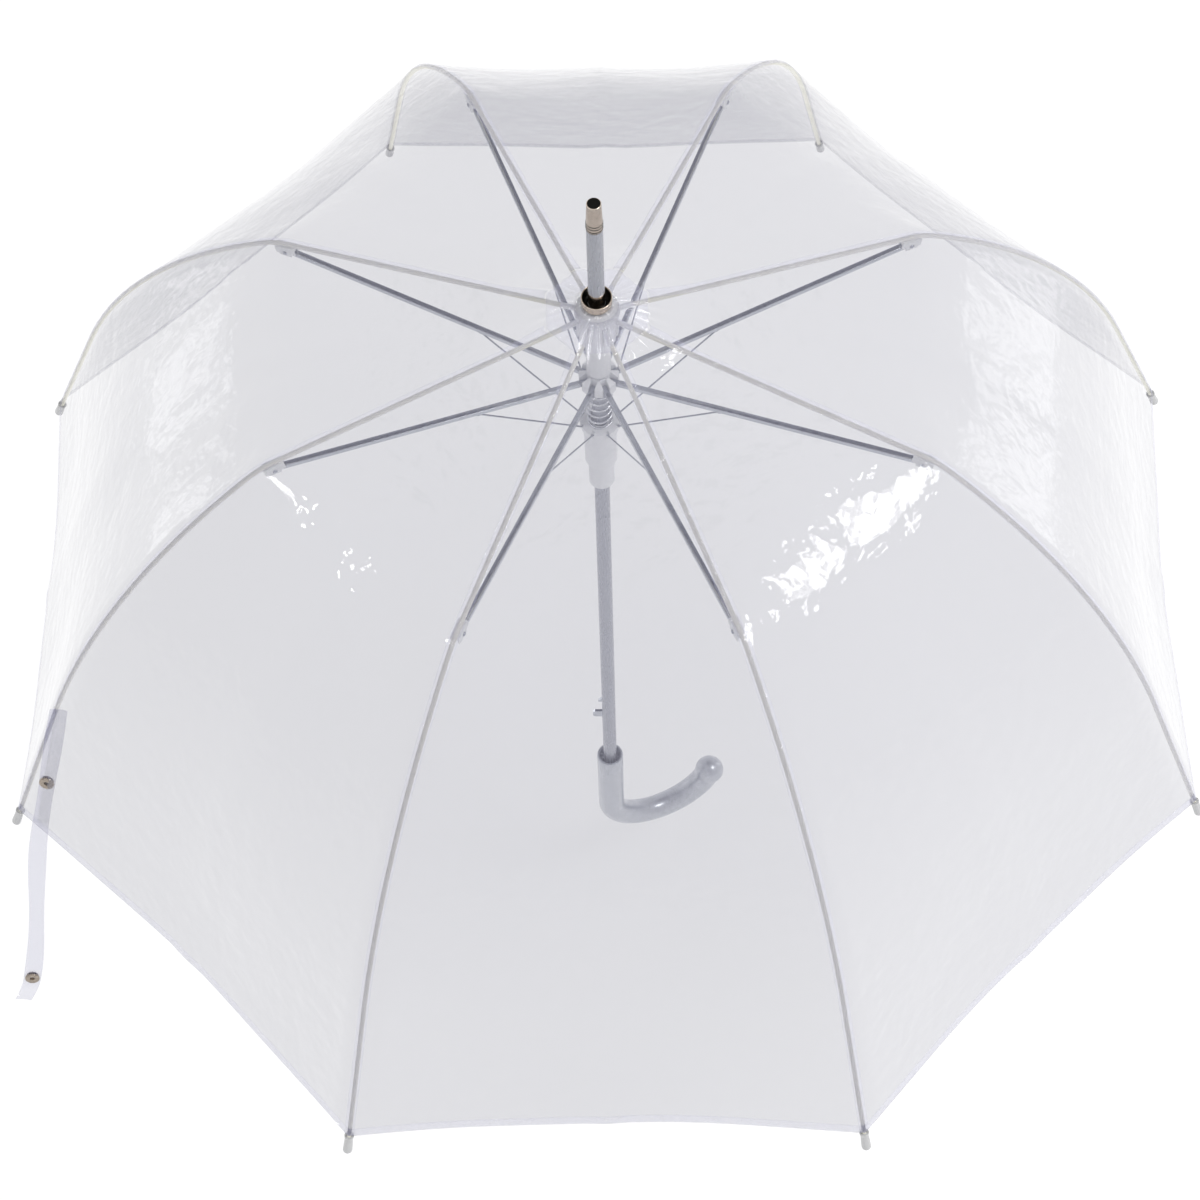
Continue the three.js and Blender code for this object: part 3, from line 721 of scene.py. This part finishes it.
# %% Spring
SPRING_TURNS = 7.5
FLAT_TURNS = 0.8
STEPS_A_TURN = 28
COIL_R, COIL_WIRE = 7.6 * MM, 0.65 * MM
spring_low, spring_high = runner_high + 0.9 * MM, hub_low - 0.9 * MM
coil = []
for i in range(int(SPRING_TURNS * STEPS_A_TURN) + 1):
    share = i / (SPRING_TURNS * STEPS_A_TURN)
    climb = min(max((share * SPRING_TURNS - FLAT_TURNS) / (SPRING_TURNS - 2 * FLAT_TURNS), 0), 1)
    angle = 2 * math.pi * SPRING_TURNS * share
    height = spring_low + (spring_high - spring_low) * climb + 0.5 * MM * (share - 0.5)
    coil.append((COIL_R * math.cos(angle), COIL_R * math.sin(angle), height))
spring = smooth(swept("coil_spring", coil, COIL_WIRE, 3))
dressed(spring, SPRING_STEEL, "hub", ["runner_spring"])
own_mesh(spring)
print("spring:", SPRING_TURNS, "turns,", len(spring.data.polygons), "faces")

# %% [markdown]
# ## Crook handle
# The crook is a thick lacquered rod, bent round a former, with an open mouth round the shaft and a
# ball on its end. The rod is swept along the bend, the ball is joined on, and the mouth is bored.

# %% Crook
handle_low, handle_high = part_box("crook_handle")
HANDLE_R = -handle_low.x + 0.5 * MM
CROOK_R = 42 * MM
BALL_R = HANDLE_R + 1.3 * MM
bend_z = handle_low.z + HANDLE_R + CROOK_R
CROOK_TURN = math.radians(164)
path, radii = [], []
for drop, share in ((0, 0.93), (0.35 * MM, 0.975), (1.1 * MM, 1), (20 * MM, 1), (50 * MM, 1)):
    path.append((0, 0, handle_high.z - drop))
    radii.append(share)
for i in range(41):
    turn = CROOK_TURN * i / 40
    path.append((CROOK_R * (1 - math.cos(turn)), 0, bend_z - CROOK_R * math.sin(turn)))
    radii.append(1 - 0.04 * math.sin(math.pi * i / 40))
crook = swept("crook", path, HANDLE_R, 16, radii=radii)
print("crook rod:", len(crook.data.polygons), "faces")

# %% Ball and mouth of the crook
fresh()
bpy.ops.mesh.primitive_uv_sphere_add(segments=40, ring_count=24, radius=BALL_R, location=path[-1])
ball = settle(bpy.context.active_object)
combined(crook, ball, "UNION")
MOUTH_R, LIP_R, SOCKET = 7.4 * MM, 8.2 * MM, 71 * MM
mouth_z = handle_high.z
combined(crook, turned("mouth", [
    (0.0, mouth_z - SOCKET), (BORE_R, mouth_z - SOCKET), (BORE_R, mouth_z - 12 * MM),
    (MOUTH_R, mouth_z - 11 * MM), (MOUTH_R, mouth_z - 0.8 * MM), (LIP_R, mouth_z + 0.4 * MM),
    (LIP_R, mouth_z + 2 * MM), (0.0, mouth_z + 2 * MM)], 48, closed=False), "DIFFERENCE")
dressed(smooth(crook, 35), LACQUER, "root", ["crook_handle"])
print("crook:", len(crook.data.polygons), "faces")

# %% [markdown]
# ## Ribs
# Each rod is one length that flexes. It is made as two lengths that meet in the middle of the dome:
# the first from the root to the middle of the rib, and the second from the middle to the end. Neither
# is bent or tied to a moving rib, so both keep their shape and place as the umbrella closes.

# %% Rib rods
KNEE_HINGE, BOW_HINGE = 10 * MM, 166 * MM
SPLIT = 88 * MM


def rib_point(reach):
    r, z, _ = rib_at(reach)
    return Vector((r, 0, z))


def rod_along(name, start, stop, step):
    count = max(2, round((stop - start) / step))
    line = [rib_point(start + (stop - start) * i / count) for i in range(count + 1)]
    return swept(name, line, ROD_R, 3)


inner_rod = rod_along("inner_rod", ROOT_REACH, SPLIT, 6 * MM)
outer_rod = rod_along("outer_rod", SPLIT, HEM_REACH + 9 * MM, 6 * MM)
KNEE_SPAN, BOW_SPAN = 34 * MM, 72 * MM


def blended_round(piece, name, i, hinge, span, stands_for):
    rod = copy_round(piece, name, i)
    dressed(smooth(rod), FIBRE, None, stands_for)
    spin = Matrix.Rotation(TURN * i, 4, "Z")
    ends = [spin @ rib_point(hinge + side * span) for side in (-1, 1)]
    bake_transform(rod)


for i in range(RIBS):
    blended_round(inner_rod, "rib_rod_inner", i, KNEE_HINGE, KNEE_SPAN,
                  [f"rib_root_{i + 1}", f"rib_middle_{i + 1}"])
    blended_round(outer_rod, "rib_rod_outer", i, BOW_HINGE, BOW_SPAN,
                  [f"rib_end_{i + 1}"])
for pattern in (inner_rod, outer_rod):
    bpy.data.objects.remove(pattern)
print("rib rods:", 2 * RIBS)

# %% [markdown]
# The fittings on a rib are a flat eye where it hangs in the crown, a clip with two ears where the
# stretcher is riveted on, and a push-on tip with a collar that holds the film's corner.


# %% Rib fittings
def rib_eye():
    height = ROD_ABOVE_CROWN + 2.2 * MM
    place = (CROWN_R + 0.9 * MM, 0, CROWN_Z + height / 2 - 1.4 * MM)
    plate = block("eye_plate", (4.2 * MM, 2.0 * MM, height), place)
    line = [rib_point(ROOT_REACH + d * MM) for d in (0.3, 5, 10, 14)]
    sleeve = swept("eye_sleeve", line, 1.75 * MM, 3)
    return smooth(softened(combined(plate, sleeve, "UNION"), 0.3 * MM, 50))


def rib_clip():
    middle = rib_point(0)
    place = (JOINT_R, 0, middle.z - 3.6 * MM)
    saddle = block("saddle", (13 * MM, 5.6 * MM, 5.2 * MM), place, 0, ROOT_SLOPE)
    ears = block("ears", (8 * MM, 5.6 * MM, 7.2 * MM), (JOINT_R, 0, JOINT_Z + 0.8 * MM))
    gap = block("gap", (20 * MM, 4.0 * MM, 7.4 * MM), (JOINT_R, 0, JOINT_Z - 0.6 * MM))
    bore = swept("bore", [rib_point(d * MM) for d in (-12, -6, 0, 6, 12)], 1.52 * MM, 3)
    combined(saddle, ears, "UNION")
    combined(saddle, gap, "DIFFERENCE")
    combined(saddle, bore, "DIFFERENCE")
    return smooth(softened(saddle, 0.35 * MM, 50))


def rivet():
    fresh()
    bpy.ops.mesh.primitive_cylinder_add(
        vertices=20, radius=0.75 * MM, depth=7.0 * MM, location=(JOINT_R, 0, JOINT_Z),
        rotation=(math.pi / 2, 0, 0))
    pin = settle(bpy.context.active_object)
    for side in (-1, 1):
        bpy.ops.mesh.primitive_uv_sphere_add(
            segments=20, ring_count=10, radius=1.5 * MM,
            location=(JOINT_R, side * 3.0 * MM, JOINT_Z), scale=(1, 0.55, 1))
        combined(pin, settle(bpy.context.active_object), "UNION")
    return smooth(pin)


def rib_tip():
    length = 16.5 * MM
    outline = [(0.0, 12.6 * MM), (1.7 * MM, 12.6 * MM), (1.7 * MM, 0.9 * MM)]
    outline += arc(2.4 * MM, 1.0 * MM, 0.6 * MM, 180, 0)
    outline += [(2.85 * MM, 2.6 * MM), (2.5 * MM, 3.4 * MM), (2.7 * MM, 6 * MM)]
    outline += arc(0.4 * MM, length - 2.6 * MM, 2.6 * MM, 0, 90, 8)[:-1] + [(0.0, length)]
    tip = turned("tip", outline, 32, closed=False)
    r, z, slope = rib_at(HEM_REACH)
    tip.matrix_world = Matrix.Translation((r, 0, z)) @ Matrix.Rotation(math.pi / 2 + slope, 4, "Y")
    return smooth(settle(tip))


for name, pattern, material, slot, body, node in (
        ("rib_eye", rib_eye(), PLASTIC, "glassfibre", "rib_root", None),
        ("rib_clip", rib_clip(), PLASTIC, "white_plastic", "rib_root", None),
        ("rib_rivet", rivet(), STEEL, "spring_steel", "rib_root", None),
        ("rib_cap", rib_tip(), SHADED_TIP_PLASTIC, "white_plastic", "rib_end", "rib_tip")):
    for i in range(RIBS):
        nodes = [f"{node}_{i + 1}"] if node else ()
        dressed(copy_round(pattern, name, i), material, f"{body}_{i + 1}", nodes)
    bpy.data.objects.remove(pattern)

# %% [markdown]
# ## Stretchers and strut wires
# A stretcher is a strip folded into a channel. It is drawn as a flat bar, hollowed from below, and
# rounded at both ends. The strut wires are thin drawn wire with a small eye at the pin end.


# %% Stretcher channel and wire
EYE_R, STRUT_R = 1.1 * MM, 0.55 * MM


def channel():
    span = Vector((JOINT_R - HUB_R, 0, JOINT_Z - HUB_Z))
    middle = Vector(((JOINT_R + HUB_R) / 2, 0, (JOINT_Z + HUB_Z) / 2))
    tilt = -math.atan2(span.z, span.x)
    bar = block("bar", (span.length + 3 * MM, 3.2 * MM, 3.4 * MM), middle, 0, tilt)
    under = Matrix.Rotation(tilt, 4, "Y") @ Vector((0, 0, -0.6 * MM))
    hollow = block("hollow", (span.length + 9 * MM, 2.0 * MM, 3.4 * MM), middle + under, 0, tilt)
    combined(bar, hollow, "DIFFERENCE")
    return smooth(softened(bar, 0.28 * MM, 50, 3), 30)


def strut():
    pin, ring = Vector((PIN_R, 0, PIN_Z)), Vector((RING_R, 0, RING_Z))
    way = (ring - pin).normalized()
    side = Vector((0, 1, 0)).cross(way)
    eye = [pin + EYE_R * (math.cos(a) * way + math.sin(a) * side)
           for a in (math.radians(20 + 32 * i) for i in range(11))]
    shank = [pin.lerp(ring, t / 6) for t in range(1, 7)]
    return smooth(swept("strut", eye[::-1][:-1] + [pin + way * 1.6 * MM] + shank, STRUT_R, 2))


for name, pattern, body in (("channel", channel(), "stretcher"), ("strut", strut(), "wire")):
    node = "stretcher" if name == "channel" else "strut_wire"
    for i in range(RIBS):
        piece = copy_round(pattern, name, i)
        dressed(piece, STEEL, f"{body}_{i + 1}", [f"{node}_{i + 1}"])
    bpy.data.objects.remove(pattern)
latch = frame["nodes"]["latch"]
latch.data.materials.clear()
latch.data.materials.append(STEEL)
print("channels and struts:", 2 * RIBS)

# %% [markdown]
# ## Canopy
# Eight gores of film are welded along the ribs. Pulled over the knees, each gore is nearly flat
# across, sags a little between its ribs, keeps the crease it was packed with down its middle, and is
# cut almost straight along the hem. One sheet is computed from the rib line; the reinforcing disc,
# the welded bands and the hem are strips lifted just off it.

# %% Canopy surface
STANDOFF = ROD_R + 0.45 * MM
TOUCH_R = 62 * MM
COLUMNS = 20
TENT_R = CUP_R + 0.75 * MM


def crest(reach):
    """The film's outer face above a rib: (radius, height). Below the tent it follows the rod."""
    r, z, slope = rib_at(reach)
    return r + STANDOFF * math.sin(slope), z + STANDOFF * math.cos(slope)


TOUCH_REACH = -(JOINT_R - TOUCH_R) / math.cos(ROOT_SLOPE)
touch = crest(TOUCH_REACH)


def tent(t):
    """From the cup to where the film meets the ribs."""
    bend = ((TENT_R + touch[0]) / 2, TOP_Z + (touch[1] - TOP_Z) / 2 + 0.6 * MM)
    a, b, c = (1 - t) ** 2, 2 * t * (1 - t), t * t
    return a * TENT_R + b * bend[0] + c * touch[0], a * TOP_Z + b * bend[1] + c * touch[1]


def profile(way):
    """The crest at way: 0 the hole, 1 the cup, 2 where the ribs are met, then 2 + metres of reach."""
    if way <= 1:
        return BORE_R + (TENT_R - BORE_R) * way, TOP_Z
    if way <= 2:
        return tent(way - 1)
    return crest(TOUCH_REACH + way - 2)


HEM_WAY = 2 + HEM_REACH - TOUCH_REACH
KNEE_WAY = 2 + 8 * MM - TOUCH_REACH


def eased(value, low, high):
    t = min(max((value - low) / (high - low), 0), 1)
    return t * t * (3 - 2 * t)


def slack_profile(way):
    """The profile between the ribs, where the film takes the knee more gently."""
    if way <= 2.05:
        return profile(way)
    spread = 0.034 * eased(way, 2.05, 2.1) * (1 - eased(way, HEM_WAY - 0.06, HEM_WAY - 0.01))
    near = [profile(way + spread * offset) for offset in (-1, -0.5, 0, 0.5, 1)]
    return sum(p[0] for p in near) / 5, sum(p[1] for p in near) / 5


# %% A point of the film
PLEAT, CREASE, PUCKER, RIPPLE = 0.8 * MM, 0.9 * MM, 1.1 * MM, 1.0 * MM


def film_point(way, turn, lift=0.0):
    """A point of the film, turn in gores from rib 1. lift moves it off the surface."""
    gore = math.floor(turn)
    across = 1 - 2 * (turn - gore)
    middle = 1 - across * across
    (r0, z0), (r1, z1) = profile(way), slack_profile(way)
    r, z = r0 + (r1 - r0) * middle, z0 + (z1 - z0) * middle
    flat = eased(r, CUP_R, 45 * MM)
    chord = math.cos(TURN / 2) / math.cos(across * TURN / 2)
    r *= (1 + (chord - 1) * flat) * (1 - 0.016 * flat * middle)
    crease = math.exp(-abs(across) / 0.025) * eased(r, 0.1, 0.18)
    below = eased(way, KNEE_WAY, KNEE_WAY + 0.05)
    at_knee = math.exp(-((way - KNEE_WAY) / 0.05) ** 2)
    pucker = math.sin(9 * math.pi * across + 1.7 * gore) * (1 - across ** 4) * at_knee
    ripple = math.sin(5 * across + 2.1 * gore + 11 * way) * middle * below
    by_cup = eased(r, CUP_R, 14 * MM) * (1 - eased(r, 20 * MM, 46 * MM))
    pleat = math.sin(7 * math.pi * turn + 0.8 * math.sin(3 * TURN * turn)) * by_cup
    out = lift + PLEAT * pleat + CREASE * crease - PUCKER * abs(pucker) * flat
    out += RIPPLE * (ripple - 0.6 * middle)
    z += 4 * MM * middle * eased(way, HEM_WAY - 0.06, HEM_WAY)
    before, after = profile(max(way - 0.004, 0)), profile(way + 0.004)
    length = math.hypot(after[0] - before[0], after[1] - before[1]) or 1
    normal = ((before[1] - after[1]) / length, (after[0] - before[0]) / length)
    r, z = r + normal[0] * out, z + normal[1] * out
    angle = TURN * turn
    return Vector((r * math.cos(angle), r * math.sin(angle), z))


# %% The canopy sheet
def film_mesh(name, ways, turns, lift=0.0, closed=False):
    """A grid of film over these ways and turns, without a thickness yet."""
    columns = len(turns)
    points = [film_point(way, turn, lift) for way in ways for turn in turns]
    spans = columns if closed else columns - 1
    faces = []
    for i in range(len(ways) - 1):
        for j in range(spans):
            a, b = i * columns + j, i * columns + (j + 1) % columns
            faces.append((a, a + columns, b + columns, b))
    mesh = bpy.data.meshes.new(name)
    mesh.from_pydata(points, [], faces)
    mesh["columns"] = columns
    piece = bpy.data.objects.new(name, mesh)
    bpy.context.scene.collection.objects.link(piece)
    return piece


def ways_between(low, high, step):
    count = max(1, round((high - low) / step))
    return [low + (high - low) * i / count for i in range(count + 1)]


FILM_WAYS = [0, 0.5] + ways_between(1, 2, 0.1)[:-1] + ways_between(2, KNEE_WAY - 0.03, 0.012)[:-1]
FILM_WAYS += ways_between(KNEE_WAY - 0.03, KNEE_WAY + 0.06, 0.004)[:-1]
FILM_WAYS += ways_between(KNEE_WAY + 0.06, HEM_WAY, 0.009)
all_turns = [i / COLUMNS for i in range(RIBS * COLUMNS)]
canopy = film_mesh("canopy_film", FILM_WAYS, all_turns, closed=True)
print("canopy:", len(canopy.data.vertices), "points")

# %% [markdown]
# On the real canopy a disc of film backs the hole at the crown, the gores overlap in a narrow band
# along each rib, and the edge is turned in and welded. Each is a strip of the same surface, lifted a
# little off the sheet, so that it follows every fold of it.

# %% Disc, welded bands and hem
BAND_HALF = 3.2 * MM
BAND_COLUMNS = (-0.04, -0.02, 0, 0.02, 0.04)
DISC_LIFT, BAND_LIFT = 0.35 * MM, 0.3 * MM
DISC_WAYS = [1.05] + ways_between(1.1, 1.42, 0.04)
BAND_WAYS = ways_between(1.45, 2, 0.11)[:-1] + ways_between(2, HEM_WAY - 0.001, 0.006)
HEM_WAYS = ways_between(HEM_WAY - 0.007, HEM_WAY - 0.0006, 0.0016)
disc = film_mesh("reinforcing_disc", DISC_WAYS, all_turns, DISC_LIFT, closed=True)
bands = []
for i in range(RIBS):
    turns = [i + side for side in BAND_COLUMNS]
    band = film_mesh(f"welded_band_{i + 1}", BAND_WAYS, turns, BAND_LIFT)
    columns = band.data["columns"]
    for k, way in enumerate(BAND_WAYS):
        r = profile(way)[0]
        for j in range(columns):
            share = BAND_HALF / r / TURN * (j - 2) / 2
            band.data.vertices[k * columns + j].co = film_point(way, i + share, BAND_LIFT)
    bands.append(band)
hem = film_mesh("hem_weld", HEM_WAYS, all_turns, BAND_LIFT, closed=True)
print("strips of film:", 2 + len(bands))

# %% [markdown]
# When the umbrella closes, the film is carried by all eight ribs at once. Each rib's three lengths
# and the crown are bones that copy the frame's bodies, and each point of the film is shared between
# the two ribs beside it, so the gores fold into soft flutes as the ribs come in.

# %% Film carried by the ribs
RIB_PARTS = ("rib_root", "rib_middle", "rib_end")
rig_data = bpy.data.armatures.new("film_rig")
rig = bpy.data.objects.new("film_rig", rig_data)
bpy.context.scene.collection.objects.link(rig)
BONE_BODIES = ["root"] + [f"{part}_{i + 1}" for i in range(RIBS) for part in RIB_PARTS]
chosen(rig)
bpy.ops.object.mode_set(mode="EDIT")
for body in BONE_BODIES:
    bone = rig_data.edit_bones.new(body)
    bone.head, bone.tail = (0, 0, 0), (0, 1, 0)
bpy.ops.object.mode_set(mode="OBJECT")
for body in BONE_BODIES:
    follow = rig.pose.bones[body].constraints.new("COPY_TRANSFORMS")
    follow.target = frame["bodies"][body]
rig.hide_render = True
print("bones:", len(BONE_BODIES))


# %% Shares of the film
def shares_along(r, reach):
    """How much the crown and each length of a rib carry the film at this reach."""
    crown_share = 1 - eased(r, 11 * MM, 40 * MM)
    past_knee = eased(reach, KNEE_HINGE - KNEE_SPAN, KNEE_HINGE + KNEE_SPAN)
    past_bow = eased(reach, BOW_HINGE - BOW_SPAN, BOW_HINGE + BOW_SPAN)
    rest = 1 - crown_share
    middle = rest * past_knee * (1 - past_bow)
    return crown_share, rest * (1 - past_knee), middle, rest * past_knee * past_bow


def carried(piece, ways):
    groups = {body: piece.vertex_groups.new(name=body) for body in BONE_BODIES}
    columns = piece.data["columns"]
    for k, vertex in enumerate(piece.data.vertices):
        way = ways[k // columns]
        r = profile(way)[0]
        reach = TOUCH_REACH + way - 2 if way > 2 else ROOT_REACH
        crown_share, *lengths = shares_along(r, reach)
        groups["root"].add([k], crown_share, "REPLACE")
        turn = (math.atan2(vertex.co.y, vertex.co.x) / TURN) % RIBS
        first, between = int(turn) % RIBS, turn - int(turn)
        between = between * between * (3 - 2 * between)
        for rib, side in ((first, 1 - between), ((first + 1) % RIBS, between)):
            for part, share in zip(RIB_PARTS, lengths):
                if side * share > 1e-4:
                    groups[f"{part}_{rib + 1}"].add([k], side * share, "ADD")
    bend = piece.modifiers.new("carried_by_ribs", "ARMATURE")
    bend.object = rig
    return piece


def film_finished(piece, ways, thickness, material, stands_for=()):
    carried(piece, ways)
    chosen(piece)
    wall = piece.modifiers.new("wall", "SOLIDIFY")
    wall.thickness, wall.offset = thickness, -1
    bpy.ops.object.modifier_move_to_index(modifier="wall", index=0)
    bpy.ops.object.modifier_apply(modifier="wall")
    for polygon in piece.data.polygons:
        polygon.use_smooth = True
    del piece.data["columns"]
    return dressed(piece, material, "root", stands_for)


# %% Film pieces finished
SHEET_WALL, DISC_WALL, WELD_WALL = 0.25 * MM, 0.15 * MM, 0.12 * MM
film_finished(canopy, FILM_WAYS, SHEET_WALL, FILM, ["canopy"])
film_finished(disc, DISC_WAYS, DISC_WALL, WELDED_FILM)
for band in bands:
    film_finished(band, BAND_WAYS, WELD_WALL, WELDED_FILM)
film_finished(hem, HEM_WAYS, WELD_WALL, WELDED_FILM)

flat_area, last = 0.0, profile(0)
for way in FILM_WAYS[1:]:
    here = profile(way)
    width = 2 * RIBS * math.sin(TURN / 2) * (here[0] + last[0]) / 2
    flat_area += width * math.hypot(here[0] - last[0], here[1] - last[1])
    last = here

# %% [markdown]
# ## Closing strap
# A narrow ribbon of the same film hangs from beside a rib. It is a little twisted from being wound
# round the closed umbrella, its free end curls, and it carries the two halves of a press stud.

# %% Strap and studs
STRAP_SPOKE = 4
STRAP_TWIST, STRAP_SWING, STRAP_LEAN = (math.radians(a) for a in (69, 7.63, 18.73))
STRAP_LENGTH, STRAP_HALF = 300 * MM, 6 * MM
CURL_LENGTH, CURL_RADIUS = 15 * MM, 11 * MM
hung = Matrix.Translation(JOINTS["strap_hang"]["pos_m"])
hung @= Matrix.Rotation(STRAP_SPOKE * TURN, 4, "Z")
hung @= Matrix.Rotation(-STRAP_LEAN, 4, "Y") @ Matrix.Rotation(STRAP_SWING, 4, "X")
hung @= Matrix.Rotation(STRAP_TWIST, 4, "Z")


def strap_point(drop, across):
    """A point of the ribbon, drop metres down it, across from -1 to 1."""
    share = drop / STRAP_LENGTH
    twist = 0.3 * math.sin(2 * math.pi * share) * (1 - share)
    sway = (11 * eased(drop, 110 * MM, 280 * MM) - 8) * MM
    curl = max(drop - (STRAP_LENGTH - CURL_LENGTH), 0) / CURL_RADIUS
    straight = min(drop, STRAP_LENGTH - CURL_LENGTH)
    forward, down = CURL_RADIUS * (1 - math.cos(curl)), CURL_RADIUS * math.sin(curl)
    width = across * STRAP_HALF * (0.92 + 0.08 * math.sin(5 * math.pi * share))
    cupped = 0.7 * MM * across * across
    return hung @ Vector((
        forward + cupped + width * math.sin(twist),
        sway + width * math.cos(twist) - 0.5 * forward,
        -straight - down))


STRAP_ROWS = 100
drops = [STRAP_LENGTH * i / STRAP_ROWS for i in range(STRAP_ROWS + 1)]
sides = [-1, -0.9, -0.5, 0, 0.5, 0.9, 1]
wide = len(sides)
points = [strap_point(drop, side) for drop in drops for side in sides]
corners = [i * wide + j for i in range(STRAP_ROWS) for j in range(wide - 1)]
faces = [(a, a + 1, a + wide + 1, a + wide) for a in corners]
ribbon_mesh = bpy.data.meshes.new("strap_ribbon")
ribbon_mesh.from_pydata(points, [], faces)
ribbon = bpy.data.objects.new("strap_ribbon", ribbon_mesh)
bpy.context.scene.collection.objects.link(ribbon)
applied(ribbon, "SOLIDIFY", thickness=0.4 * MM, offset=0)
chosen(ribbon)
bpy.ops.object.mode_set(mode="EDIT")
bpy.ops.mesh.select_all(action="SELECT")
bpy.ops.mesh.normals_make_consistent(inside=False)
bpy.ops.object.mode_set(mode="OBJECT")
STRAP_FILM = clear_film("strap_film", 0.62, 0.22, 0.5, 0.2, 0.06)
dressed(smooth(ribbon, 60), STRAP_FILM, "strap", ["closing_strap"])
print("strap:", len(ribbon.data.polygons), "faces")


# %% Studs
STUD_R = 5.0 * MM


def stud(name, drop, stands_for=()):
    """A pressed cap with a rolled rim and a dimple, and the flat collar behind the film."""
    r = STUD_R
    outline = [(0.0, 0.9 * MM), (1.2 * MM, 0.9 * MM), (1.6 * MM, 2.0 * MM), (2.9 * MM, 2.4 * MM)]
    outline += arc(r - 0.9 * MM, 1.5 * MM, 0.9 * MM, 80, -80, 8)
    outline += [(2.6 * MM, 0.5 * MM), (2.6 * MM, -0.5 * MM)]
    outline += arc(r - 1.2 * MM, -0.9 * MM, 0.4 * MM, 90, -90, 5) + [(0.0, -1.3 * MM)]
    cap = turned(name, outline, 40, closed=False)
    middle = strap_point(drop, 0)
    wide = (strap_point(drop, 1) - strap_point(drop, -1)).normalized()
    up_strap = (strap_point(drop - MM, 0) - strap_point(drop + MM, 0)).normalized()
    outward = wide.cross(up_strap)
    facing = Matrix((up_strap, wide, outward)).transposed().to_4x4()
    cap.matrix_world = Matrix.Translation(middle) @ facing
    return dressed(smooth(settle(cap), 50), WORN_NICKEL, "strap", stands_for)


UPPER_STUD_DROP, LOWER_STUD_DROP = 71 * MM, 281 * MM
upper_stud = stud("upper_stud", UPPER_STUD_DROP)
lower_stud = stud("lower_stud", LOWER_STUD_DROP, ["press_stud"])
print("studs at", UPPER_STUD_DROP, LOWER_STUD_DROP)
